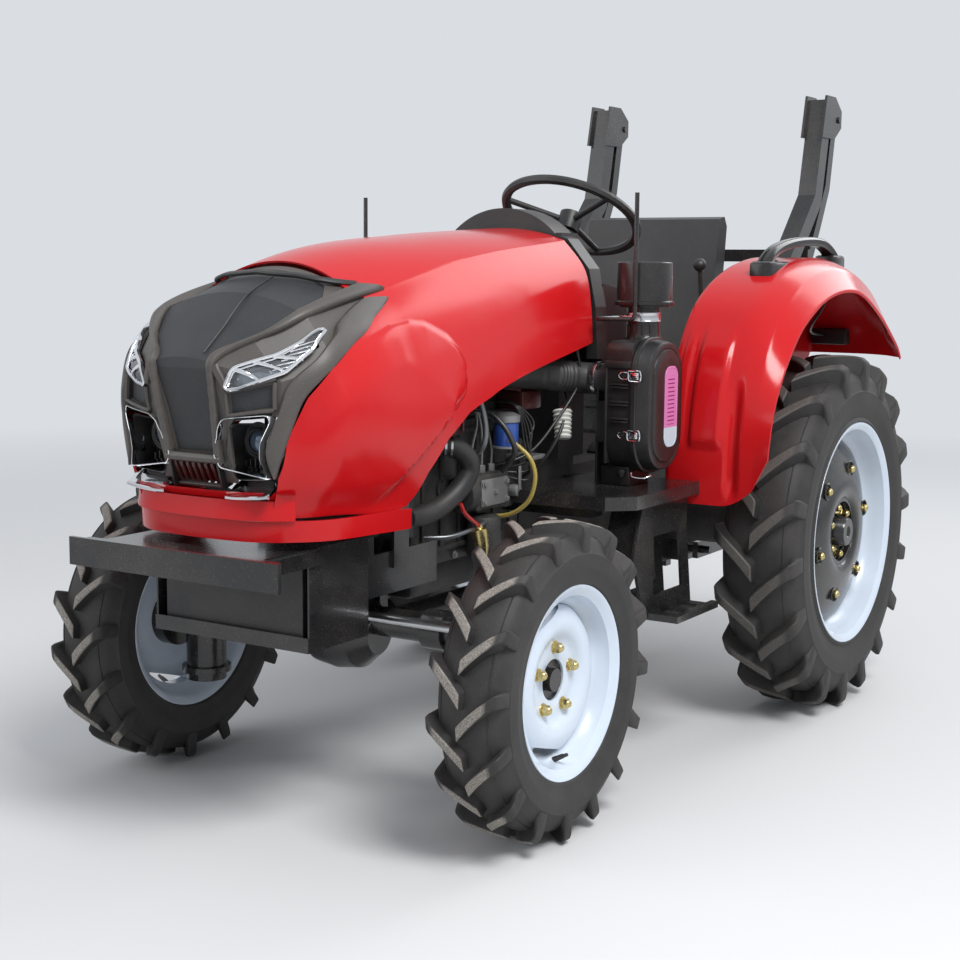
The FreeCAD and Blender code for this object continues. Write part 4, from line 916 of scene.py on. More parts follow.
def band():
    """Red band round the foot of the hood, and the lip under the mask."""
    bm = bmesh.new()
    path = plan_path(band_line, 150)
    outline = ((-0.012, 0.7625), (0.000, 0.7620), (0.0035, 0.7585), (0.0065, 0.752), (0.0075, 0.744), (0.0075, 0.724),
               (0.0055, 0.7185), (0.001, 0.7165), (-0.010, 0.7165))
    wall_round(bm, path, outline + outline[:1])
    made = piece("hood_band", bm, red_paint, "hood", "red_paint", smooth=40.0)
    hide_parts("hood_band")
    lip = bmesh.new()
    front = [p for p in path if p.y < LIP_END]
    outline = ((-0.014, 0.8060), (-0.003, 0.8035), (0.000, 0.8005), (0.0015, 0.794), (0.0015, 0.778),
               (0.000, 0.7685), (-0.005, 0.7645), (-0.020, 0.7640))
    wall_round(lip, front, outline + outline[:1])
    piece("hood_lip", lip, red_paint, "hood", "red_paint", smooth=40.0)


hood()
band()

# ---------------------------------------------------------------- nose

NOSE_STEP = 0.005
NOSE_LOW = 0.780


def nose_table():
    """How far forward the nose stands for each x and z of a grid, with its creases softened."""
    stations = []
    for i in range(76):
        y = -1.379 + i * 0.006
        line = [hood_point(y, a / 8) for a in range(33)]
        stations.append((y, [(p.x, p.z) for p in line]))
    columns, rows = 66, 112
    table = []
    for k in range(rows):
        z = NOSE_LOW + k * NOSE_STEP
        reach = []
        for y, line in stations:
            if z < line[0][1]:
                reach.append(line[0][0] if y > -1.3125 else -(line[0][1] - z))
            elif z > line[-1][1]:
                reach.append(-(z - line[-1][1]))
            else:
                for (x0, z0), (x1, z1) in zip(line, line[1:]):
                    if z0 <= z <= z1:
                        reach.append(x0 + (x1 - x0) * (z - z0) / max(1e-6, z1 - z0))
                        break
                else:
                    reach.append(line[-1][0])
        row = []
        for j in range(columns):
            x = j * NOSE_STEP
            y = stations[-1][0]
            for i, share in enumerate(reach):
                if share >= x:
                    y = stations[i][0]
                    if i:
                        short = share - reach[i - 1]
                        y = stations[i - 1][0] + 0.006 * min(1.0, (x - reach[i - 1]) / max(1e-6, short))
                    break
            row.append(y)
        table.append(row)
    for _ in range(2):
        table = [[(table[max(0, k - 1)][abs(j - 1)] + table[max(0, k - 1)][j] + table[k][abs(j - 1)]
                   + table[min(rows - 1, k + 1)][min(columns - 1, j + 1)] + table[k][min(columns - 1, j + 1)]
                   + table[min(rows - 1, k + 1)][j] + 2 * table[k][j]) / 8 for j in range(columns)]
                 for k in range(rows)]
    return table


nose_grid = nose_table()


def nose_y(x, z):
    a = min(64.0, abs(x) / NOSE_STEP)
    b = max(0.0, min(110.0, (z - NOSE_LOW) / NOSE_STEP))
    i, k = min(63, int(a)), min(109, int(b))
    a, b = a - i, b - k
    low = nose_grid[k][i] * (1 - a) + nose_grid[k][i + 1] * a
    high = nose_grid[k + 1][i] * (1 - a) + nose_grid[k + 1][i + 1] * a
    return low * (1 - b) + high * b


def nose_out(x, z):
    """Direction straight off the nose's surface."""
    step = 0.006
    across = (nose_y(x + step, z) - nose_y(x - step, z)) / (2 * step)
    up = (nose_y(x, z + step) - nose_y(x, z - step)) / (2 * step)
    return Vector((across, -1, up)).normalized()


def nose_at(x, z, lift=0.0):
    return Vector((x, nose_y(x, z), z)) + nose_out(x, z) * lift


def ribbon(bm, one, other, profile, count=60, smooth=False):
    """Raised strip on the nose between two lines of (x, z): profile gives shares across and heights."""
    line = curve if smooth else evenly
    a = line([(x, z, 0) for x, z in one], count)
    b = line([(x, z, 0) for x, z in other], count)

    def place(u, v):
        i = round(u * count)
        share, lift = profile[round(v * (len(profile) - 1))]
        spot = a[i].lerp(b[i], share)
        return nose_at(spot.x, spot.y, lift)

    mapped(bm, count, len(profile) - 1, place)


def rim(bm, outline, wide, high, lift, closed=True, radius=0.006):
    """Bar laid on the nose along an outline of (x, z) points."""
    points = [Vector((x, z, 0)) for x, z in outline]
    if closed:
        middle = (points[0] + points[-1]) / 2
        points = [middle] + points + [middle]
    line = rounded(points, radius, 4)
    line = evenly(line, max(16, int(sum((a - b).length for a, b in zip(line, line[1:])) / 0.005)))
    path = [nose_at(p.x, p.y, lift) for p in line]
    sweep(bm, path, bar_outline(wide, high, min(wide, high) / 4), up=[nose_out(p.x, p.y) for p in line],
          closed=closed)


def nose_bar(bm, line, lift, *bar, size=None):
    """Bar laid on the nose along a line of (x, z) points, with the sizes of its outline."""
    sweep(bm, [nose_at(p.x, p.y, lift) for p in line], bar_outline(*bar), up=[nose_out(p.x, p.y) for p in line],
          size=size)


def pane(bm, upper, lower, lift, count, rows):
    """Sheet that follows the nose between an upper and a lower line, lifted off it."""
    ribbon(bm, lower, upper, [(i / rows, lift) for i in range(rows + 1)], count)


def pod(bm, outline, rings, count=64):
    """Hollow behind an outline: rings give a share of the outline's size about its middle, and a depth."""
    points = [Vector((x, z, 0)) for x, z in outline]
    middle = sum(points, Vector()) / len(points)
    first = (points[0] + points[-1]) / 2
    line = evenly(rounded([first] + points + [first], 0.008, 4), count)

    def place(u, v):
        p = line[round(u * count)]
        share, depth = rings[round(v * (len(rings) - 1))]
        spot = middle.lerp(p, share)
        return Vector((spot.x, nose_y(p.x, p.y) + depth, spot.y))

    mapped(bm, count, len(rings) - 1, place)


rib_inner = ((0.196, 1.258), (0.197, 1.236), (0.190, 1.205), (0.170, 1.176), (0.145, 1.153), (0.113, 1.135),
             (0.086, 1.121), (0.075, 1.106), (0.072, 1.060), (0.069, 1.002), (0.060, 0.906))
rib_outer = ((0.228, 1.252), (0.224, 1.222), (0.212, 1.193), (0.186, 1.166), (0.156, 1.147), (0.126, 1.129),
             (0.102, 1.112), (0.092, 1.094), (0.089, 1.052), (0.086, 0.996), (0.078, 0.898))
cheek_outer = ((0.244, 1.232), (0.262, 1.196), (0.283, 1.150), (0.290, 1.090), (0.258, 1.027), (0.244, 0.980),
               (0.233, 0.939), (0.221, 0.898), (0.207, 0.858))
cheek_inner = ((0.230, 1.226), (0.246, 1.184), (0.262, 1.150), (0.262, 1.108), (0.231, 1.061), (0.216, 1.000),
               (0.200, 0.950), (0.190, 0.911), (0.203, 0.860))
slim_upper = ((0.112, 1.050), (0.127, 1.088), (0.196, 1.113), (0.228, 1.140), (0.240, 1.166))
slim_lower = ((0.118, 1.044), (0.142, 1.047), (0.221, 1.078), (0.252, 1.126), (0.248, 1.164))
box_outline = ((0.121, 1.034), (0.205, 1.055), (0.206, 1.010), (0.118, 0.993))
low_lamp = ((0.074, 0.872), (0.062, 0.898), (0.088, 0.968), (0.103, 0.982), (0.128, 0.986), (0.205, 0.994),
            (0.209, 0.978), (0.187, 0.930), (0.184, 0.896), (0.198, 0.855))
pod_edge = ((0.107, 0.850), (0.084, 0.900), (0.107, 0.968), (0.187, 0.972), (0.180, 0.920), (0.188, 0.856))


def mask_ribs():
    """Grey bars round the mesh on the nose and down beside the grille, and the blades along the red cheeks."""
    bm = bmesh.new()
    ribbon(bm, rib_outer, rib_inner,
           ((0.0, -0.004), (0.02, 0.004), (0.14, 0.0105), (0.28, 0.0125), (0.72, 0.0125), (0.87, 0.0105),
            (0.98, 0.003),
            (1.0, -0.012)), 90, True)
    ribbon(bm, cheek_outer, cheek_inner,
           ((0.0, -0.003), (0.02, 0.0035), (0.10, 0.007), (0.30, 0.010), (0.70, 0.0125), (0.86, 0.0115),
            (0.96, 0.006),
            (1.0, -0.016)), 80, True)
    for (x0, z0), (x1, z1), wide in (((0.090, 1.094), (0.112, 1.050), 0.018), ((0.116, 1.040), (0.210, 1.066), 0.007),
                                     ((0.112, 0.988), (0.210, 1.003), 0.008), ((0.113, 1.040), (0.112, 0.988), 0.008),
                                     ((0.209, 1.060), (0.211, 1.004), 0.009)):
        line = evenly([(x0, z0, 0), (x1, z1, 0)], 12)
        nose_bar(bm, line, 0.002, wide, 0.012, 0.003)
    mirror_x(bm)
    line = evenly([(-0.078, 0.892, 0), (0.078, 0.892, 0)], 20)
    nose_bar(bm, line, 0.004, 0.020, 0.018, 0.006)
    line = evenly([(-0.064, 0.829, 0), (0.064, 0.829, 0)], 12)
    nose_bar(bm, line, -0.004, 0.006, 0.012, 0.001)
    piece("mask_ribs", bm, grey_mask, "hood", "grey_mask", smooth=42.0)
    trim = bmesh.new()
    line = evenly([(-0.196, 1.262, 0), (-0.100, 1.280, 0), (0.0, 1.287, 0), (0.100, 1.280, 0), (0.196, 1.262, 0)], 50)
    nose_bar(trim, line, 0.002, 0.016, 0.010, 0.003)
    crest = evenly([(0.0, 1.280, 0), (0.0, 1.120, 0)], 30)
    sweep(trim, [nose_at(p.x + 0.052, p.y, -0.001) for p in crest], bar_outline(0.003, 0.004, 0.001),
          up=[nose_out(p.x, p.y) for p in crest])
    piece("mask_top_trim", trim, black_plastic, "hood", "black_plastic", smooth=42.0)


def grille_fins():
    """Upright dark red fins under the grille, in a black frame in place of the slats."""
    bm = bmesh.new()
    for i in range(8):
        x = (i - 3.5) * 0.0168
        lean = 1.0 + 0.08 * abs(x) / 0.06
        line = evenly([(x * lean, 0.881, 0), (x * 1.06, 0.832, 0)], 6)
        sweep(bm, [nose_at(p.x, p.y, -0.004 - 0.010 * i / 6) for i, p in enumerate(line)],
              bar_outline(0.0085, 0.016, 0.0025), up=[Vector((0, -1, 0))] * 7)
    piece("grille_fins", bm, fin_red, "hood", "red_paint", smooth=40.0)
    back = bmesh.new()
    pane(back, ((-0.068, 0.884), (0.068, 0.884)), ((-0.068, 0.826), (0.068, 0.826)), -0.026, 8, 3)
    for side in (-1, 1):
        line = evenly([(side * 0.068, 0.886, 0), (side * 0.070, 0.826, 0)], 6)
        sweep(back, [nose_at(p.x, p.y, -0.006) for p in line], bar_outline(0.006, 0.034, 0.001),
              up=[Vector((0, -1, 0))] * 7)
    made = piece("grille_fins_back", back, black_plastic, "hood", "black_plastic", smooth=40.0)
    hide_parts("grille_slats")


def low_lamps():
    """Lower lamps: chrome surrounds with a foot, black pods, a projector lens and fins under it."""
    chrome, shell, glass = bmesh.new(), bmesh.new(), bmesh.new()
    pod(chrome, low_lamp, ((1.03, 0.004), (1.0, -0.010), (0.985, -0.0125), (0.955, -0.0125), (0.94, -0.009),
                           (0.90, 0.010), (0.84, 0.022)), 96)
    foot = ((0.085, 0.836), (0.105, 0.848), (0.190, 0.850), (0.203, 0.846))
    front = ((0.0885, 0.814), (0.112, 0.8135), (0.178, 0.818), (0.2025, 0.822))
    for i, level in enumerate((0.0, -0.007)):
        edge = evenly([(x, z, 0) for x, z in foot], 16)
        ahead = evenly([(x, z, 0) for x, z in front], 16)

        def place(u, v):
            a, b = edge[round(u * 16)], ahead[round(u * 16)]
            dip = -0.006 * math.sin(math.pi * u) * v * (1 - v) * 4
            return Vector((a.x + (b.x - a.x) * v, -1.304 - 0.036 * v + 0.008 * max(0.0, u - 0.5) * v,
                           a.y + (b.y - a.y) * v + level + dip))

        mapped(chrome, 16, 8, place)
    line = evenly([(x, z, 0) for x, z in front], 16)
    sweep(chrome, [Vector((p.x, -1.341 + 0.008 * max(0.0, i / 16 - 0.5), p.y - 0.003)) for i, p in enumerate(line)],
          bar_outline(0.009, 0.007, 0.002), up=(0, -1, 0))
    pod(shell, pod_edge, ((1.06, 0.006), (1.03, 0.001), (1.0, 0.004), (0.96, 0.030), (0.90, 0.060), (0.0, 0.062)), 72)
    for i in range(5):
        x = 0.103 + i * 0.0135
        block(shell, (x, -1.296, 0.852), (x + 0.004, -1.262, 0.895 - 0.004 * abs(i - 2)), 0.0012)
    centre = Vector((0.136, -1.278, 0.930))
    for radius, tube_radius, ahead in ((0.036, 0.0055, -0.008), (0.027, 0.003, -0.013)):
        ring = [centre + Vector((radius * math.cos(t), ahead, radius * math.sin(t)))
                for t in [math.tau * i / 40 for i in range(41)]]
        sweep(shell, ring, round_outline(tube_radius, 8), up=(0, -1, 0), closed=True)
    lens = bmesh.ops.create_uvsphere(glass, u_segments=28, v_segments=16, radius=0.025)["verts"]
    bmesh.ops.scale(glass, vec=(1, 0.62, 1), verts=lens)
    bmesh.ops.translate(glass, vec=centre + Vector((0, -0.006, 0)), verts=lens)
    for bm, name, material, slot in ((chrome, "low_lamp_surround", chrome_plate, "bare_steel"),
                                     (shell, "low_lamp_pod", black_plastic, "black_plastic"),
                                     (glass, "low_lamp_lens", lens_glass, "lamp_glass")):
        mirror_x(bm)
        made = piece(name, bm, material, "hood", slot, smooth=38.0)
    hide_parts("headlamps")


def slim_lamps():
    """Slim upper lamps: chrome frame and claws over a clear lens, with short bars at the outer end."""
    chrome, glass, dark = bmesh.new(), bmesh.new(), bmesh.new()
    outline = slim_upper + slim_lower[::-1]
    rim(chrome, outline, 0.0075, 0.010, 0.006, radius=0.008)
    rim(chrome, ((0.118, 1.052), (0.130, 1.082), (0.196, 1.106), (0.226, 1.134)), 0.004, 0.004, 0.004, closed=False)
    for share, swing in ((0.22, 0.10), (0.42, 0.12), (0.60, 0.10)):
        top = curve([(x, z, 0) for x, z in slim_upper], 100)[round(share * 100)]
        foot = curve([(x, z, 0) for x, z in slim_lower], 100)[round(min(1.0, share + swing) * 100)]
        line = [top.lerp(foot, i / 14) + Vector((0.010 * math.sin(math.pi * i / 14), 0, 0)) for i in range(15)]
        nose_bar(chrome, line, 0.005, 0.0085, 0.006, 0.002, size=lambda t: 1.15 - 0.55 * t)
    for i in range(6):
        level = 1.084 + i * 0.0095
        line = evenly([(0.200 + i * 0.004, level, 0), (0.236 + i * 0.002, level + 0.012, 0)], 6)
        nose_bar(chrome, line, 0.001, 0.0035, 0.006, 0.001)
    pane(glass, slim_upper, slim_lower, 0.0015, 40, 8)
    pane(dark, slim_upper, slim_lower, -0.030, 40, 8)
    for bm, name, material, slot in ((chrome, "slim_lamp_frame", chrome_plate, "bare_steel"),
                                     (glass, "slim_lamp_lens", clear_lens, "lamp_glass"),
                                     (dark, "slim_lamp_back", lamp_glass, "lamp_glass")):
        mirror_x(bm)
        piece(name, bm, material, "hood", slot, smooth=38.0)


def side_screens():
    """Small mesh windows between the lamps."""
    bm = bmesh.new()
    pane(bm, (box_outline[0], box_outline[1]), (box_outline[3], box_outline[2]), -0.008, 16, 8)
    mirror_x(bm)
    piece("side_screens", bm, black_mesh, "hood", "black_mesh", smooth=60.0)


def lip_ledge():
    """Sloping red ledge between the lip's edge and the foot of the mask."""
    bm = bmesh.new()
    path = plan_path(band_line, 150)
    front = [p for p in path if p.y < LIP_END]
    rows = ((0.0, 0.0, 0.8005), (0.10, 0.0035, 0.8030), (0.35, 0.010, 0.8090), (0.70, 0.019, 0.8190),
            (1.0, 0.030, 0.8265))

    def place(u, v):
        i = round(u * (len(front) - 1))
        point = front[i]
        ahead = (front[min(len(front) - 1, i + 1)] - front[max(0, i - 1)]).normalized()
        inward = Vector((-ahead.y, ahead.x, 0))
        _, back, z = rows[round(v * (len(rows) - 1))]
        return point + inward * (back - 0.001) + Vector((0, 0, z))

    mapped(bm, len(front) - 1, len(rows) - 1, place)
    piece("lip_ledge", bm, red_paint, "hood", "red_paint", smooth=60.0)


mask_ribs()
grille_fins()
low_lamps()
slim_lamps()
side_screens()
lip_ledge()

# ---------------------------------------------------------------- fenders

# Side views of the guard over the rear wheel, from the foot of its front to its tail: y, z
guard_roof = ((0.083, 0.664), (0.078, 0.760), (0.082, 0.860), (0.099, 0.960), (0.128, 1.050), (0.171, 1.130),
              (0.232, 1.200), (0.320, 1.257), (0.430, 1.301), (0.550, 1.329), (0.685, 1.3405), (0.820, 1.330),
              (0.940, 1.299), (1.040, 1.252), (1.112, 1.190), (1.154, 1.115), (1.166, 1.036))
guard_rim = ((0.060, 0.800), (0.066, 0.832), (0.080, 0.890), (0.104, 0.950), (0.142, 1.008), (0.188, 1.063),
             (0.259, 1.130), (0.335, 1.176), (0.448, 1.222), (0.568, 1.245), (0.697, 1.247), (0.800, 1.226),
             (0.900, 1.187), (0.990, 1.142), (1.065, 1.098), (1.120, 1.062), (1.150, 1.030))
guard_wall = ((0.150, 0.664), (0.150, 0.705), (0.150, 0.760), (0.190, 0.800), (0.250, 0.855), (0.300, 0.900),
              (0.380, 0.915), (0.460, 0.930), (0.550, 0.945), (0.630, 0.962), (0.720, 0.980), (0.820, 0.980),
              (0.920, 0.980), (1.010, 0.982), (1.080, 0.990), (1.130, 1.008), (1.155, 1.032))
GUARD_STEPS = 120


def matched(points):
    """Points of a smooth line, spaced by the numbers of the given ones."""
    spots = [Vector((0, y, z)) for y, z in points]
    made = []
    for k in range(GUARD_STEPS + 1):
        at = k / GUARD_STEPS * (len(spots) - 1)
        i = min(int(at), len(spots) - 2)
        t = at - i
        a, b, c, d = (spots[max(0, min(len(spots) - 1, i + n))] for n in (-1, 0, 1, 2))
        made.append(0.5 * ((2 * b) + (c - a) * t + (2 * a - 5 * b + 4 * c - d) * t * t
                           + (3 * b - a - 3 * c + d) * t ** 3))
    return made


def guard_relief(x, z, front):
    """Height of the pressed fields on the guard's front."""
    if not front:
        return 0.0
    field = eased(x, 0.500, 0.516) * (1 - eased(x, 0.588, 0.606)) * eased(z, 0.822, 0.838)
    field *= 1 - eased(z, 1.06, 1.17)
    groove = eased(x, 0.604, 0.626) * (1 - eased(x, 0.630, 0.656)) * (1 - eased(z, 0.90, 1.04)) * eased(z, 0.67, 0.74)
    inner = eased(x, 0.455, 0.462) * (1 - eased(x, 0.478, 0.490)) * eased(z, 0.80, 0.84) * (1 - eased(z, 1.08, 1.18))
    return 0.011 * field - 0.020 * groove + 0.005 * inner


def guard(side):
    roof, edge, wall = matched(guard_roof), matched(guard_rim), matched(guard_wall)
    label = "left" if side > 0 else "right"
    bm = bmesh.new()
    stations = [(0.431, 0.0), (0.436, 0.0), (0.445, 0.0)]
    stations += [(0.445 + 0.155 * i / 30, 0.0) for i in range(1, 31)]
    stations += [(0.600 + 0.090 * i / 16, 0.33 * (i / 16) ** 1.8) for i in range(1, 17)]
    stations += [(0.692, 0.345), (0.695, 0.37)]
    stations += [(0.695 + 0.045 * i / 6, 0.37 + 0.60 * i / 6) for i in range(1, 7)]
    stations += [(0.7425, 1.0), (0.7435, 1.03), (0.7420, 1.10)]

    def place(u, v):
        k = round(u * GUARD_STEPS)
        x, share = stations[round(v * (len(stations) - 1))]
        spot = roof[k].lerp(edge[k], min(1.0, share))
        ahead = (roof[min(GUARD_STEPS, k + 1)] - roof[max(0, k - 1)]).normalized()
        out = Vector((0, -ahead.z, ahead.y))
        if share > 1.0:
            spot = spot + (REAR_AXLE - spot).normalized() * (share - 1.0) * 0.10
        if x < 0.444:
            spot = spot - out * (0.012 if x < 0.435 else 0.004)
        spot = spot + out * guard_relief(x, spot.z, spot.y < 0.30)
        return Vector((x, spot.y, spot.z))

    mapped(bm, GUARD_STEPS, len(stations) - 1, place)

    def wall_place(u, v):
        k = round(u * GUARD_STEPS)
        ahead = (roof[min(GUARD_STEPS, k + 1)] - roof[max(0, k - 1)]).normalized()
        top = roof[k] - Vector((0, -ahead.z, ahead.y)) * 0.012
        spot = top.lerp(wall[k], v)
        return Vector((0.431, spot.y, spot.z))

    mapped(bm, GUARD_STEPS, 10, wall_place)
    bmesh.ops.remove_doubles(bm, verts=bm.verts, dist=MERGE)
    bmesh.ops.recalc_face_normals(bm, faces=bm.faces)
    bmesh.ops.solidify(bm, geom=bm.faces[:], thickness=0.003)
    if side < 0:
        other_side(bm)
    made = piece("guard_" + label, bm, red_paint, "chassis", "red_paint", smooth=32.0)
    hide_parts("fender_" + label)
    lining = bmesh.new()
    for y, z in ((0.470, 1.165), (0.700, 1.205), (0.930, 1.165)):
        disc_at(lining, (0.440, y, z), (1, 0, 0), 0.008, 0.010, 10, edge=0.0015)
    path = [(0.452, 0.42, 1.12), (0.460, 0.50, 1.19), (0.470, 0.60, 1.262), (0.520, 0.66, 1.292),
            (0.600, 0.70, 1.276),
            (0.640, 0.74, 1.250), (0.610, 0.80, 1.200), (0.540, 0.88, 1.130), (0.500, 1.00, 1.105),
            (0.490, 1.12, 1.095)]
    tube(lining, path, 0.0042, 8, 60)
    if side < 0:
        other_side(lining)
    piece("guard_wiring_" + label, lining, black_plastic, "chassis", "black_plastic", smooth=40.0)


def grab_handles():
    """Black moulded handle with a slot along its top and two broad feet, on each guard."""
    bm = bmesh.new()
    line = curve([(HANDLE_X, y, z) for y, z in ((0.402, 1.290), (0.425, 1.325), (0.462, 1.349), (0.520, 1.367),
                                             (0.600, 1.380), (0.690, 1.387), (0.780, 1.389), (0.850, 1.384),
                                             (0.905, 1.368), (0.944, 1.345), (0.965, 1.315))], HANDLE_STEPS)
    outline = ((-0.020, -0.006), (-0.015, -0.0125), (0.015, -0.0125), (0.020, -0.006), (0.020, 0.006),
               (0.015, 0.0118),
               (0.0085, 0.0132), (0.0065, 0.0085), (-0.0065, 0.0085), (-0.0085, 0.0132), (-0.015, 0.0118),
               (-0.020, 0.006))
    ups = []
    for i in range(len(line)):
        ahead = (line[min(HANDLE_STEPS, i + 1)] - line[max(0, i - 1)]).normalized()
        ups.append(Vector((0, -ahead.z, ahead.y)))
    sweep(bm, line, outline, up=ups, size=lambda t: 1.0 + 0.35 * abs(2 * t - 1) ** 6)
    for y0, y1, low, high in ((0.384, 0.545, 1.262, 1.327), (0.895, 0.984, 1.262, 1.350)):
        block(bm, (0.534, y0, low), (0.606, y1, high), 0.012)
    for v in bm.verts:
        if v.co.z < 1.30:
            rise = math.sqrt(max(0.0, GUARD_RADIUS ** 2 - (v.co.y - REAR_AXLE.y) ** 2))
            v.co.z = max(v.co.z, REAR_AXLE.z + rise - 0.004)
    for y in (0.470, 0.500):
        disc_at(bm, (HANDLE_X, y, 1.328), (0, 0, 1), 0.006, 0.006, 10, edge=0.001)
    mirror_x(bm)
    made = piece("grab_handles", bm, glossy_black, "chassis", "black_plastic", smooth=40.0)
    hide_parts("fender_handles")


def tail_lights():
    """Red lamps in black frames, set through the tail of each guard."""
    bm, lens = bmesh.new(), bmesh.new()
    low, high = Vector((0.448, 1.122, 1.064)), Vector((0.566, 1.166, 1.116))
    block(bm, low, high, 0.006)
    block(lens, (0.452, 1.160, 1.068), (0.562, 1.179, 1.112), 0.007)
    for x in (0.489, 0.526):
        block(bm, (x - 0.0012, 1.168, 1.068), (x + 0.0012, 1.1795, 1.112), 0.0)
    for made, name, material, slot in ((bm, "tail_lamp_housings", black_plastic, "black_plastic"),
                                       (lens, "tail_lamp_lenses", red_lens, "red_lens")):
        mirror_x(made)
        kept = piece(name, made, material, "chassis", slot, smooth=40.0)
    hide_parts("tail_lamps")


guard(1)
guard(-1)
grab_handles()
tail_lights()

# ---------------------------------------------------------------- air cleaner, hoses and engine

worm_steel = finish_of("worm_steel", (0.62, 0.63, 0.65), 0.22, metallic=1.0, dust=0.05, coarse=80.0, bump=0.1)
soft_black = finish_of("soft_black", (0.012, 0.012, 0.013), 0.34, dust=0.07, patch=9.0, coarse=220.0, fine=1500.0,
                       fine_share=0.7, bump=0.2, depth=0.0004)
pipe_grey = finish_of("pipe_grey", (0.20, 0.21, 0.22), 0.32, metallic=0.8, dust=0.10, coarse=90.0, bump=0.15)
cast_grey = finish_of("cast_grey", (0.26, 0.26, 0.26), 0.46, metallic=0.5, dust=0.15, coarse=160.0, fine=700.0,
                      bump=0.5,
                      depth=0.001)
filter_blue = finish_of("filter_blue", (0.010, 0.060, 0.30), 0.30, dust=0.10, coarse=60.0, bump=0.1, coat=0.3)
fuel_hose = clear_finish("fuel_hose", (0.55, 0.42, 0.10), 0.18, 0.35)
bellows_white = finish_of("bellows_white", (0.60, 0.60, 0.56), 0.40, dust=0.16, coarse=60.0, bump=0.2)


def gauge_finish():
    """Pink cover plate with fine scale lines over a pale lower part."""
    material = finish_of("gauge_pink", (0.62, 0.20, 0.44), 0.16, dust=0.02, coarse=30.0, bump=0.05)
    tree = material.node_tree
    film = next(n for n in tree.nodes if n.type == "GROUP" and n.node_tree == dust_film)
    where = add_node(tree, "ShaderNodeSeparateXYZ", {0: tree.nodes["Texture Coordinate"].outputs["Object"]})
    height, along_y = where.outputs["Z"], where.outputs["Y"]
    step = math_of(tree, "FRACT", math_of(tree, "MULTIPLY", height, 92.0))
    line = math_of(tree, "LESS_THAN", step, 0.32)
    middle = math_of(tree, "ABSOLUTE", math_of(tree, "ADD", along_y, 0.051))
    short = math_of(tree, "LESS_THAN", middle, 0.020)
    upper = math_of(tree, "MULTIPLY", math_of(tree, "GREATER_THAN", height, 0.893),
                    math_of(tree, "LESS_THAN", height, 1.022))
    mark = math_of(tree, "MULTIPLY", math_of(tree, "MULTIPLY", line, short), upper)
    tone = mixed(tree, mark, film.outputs["Colour"], (0.28, 0.020, 0.14, 1.0))
    low = span(tree, height, 0.884, 0.887, 1.0, 0.0)
    tone = mixed(tree, low, tone, (0.52, 0.62, 0.68, 1.0))
    tree.links.new(tone, tree.nodes["Principled BSDF"].inputs["Base Color"])
    return material


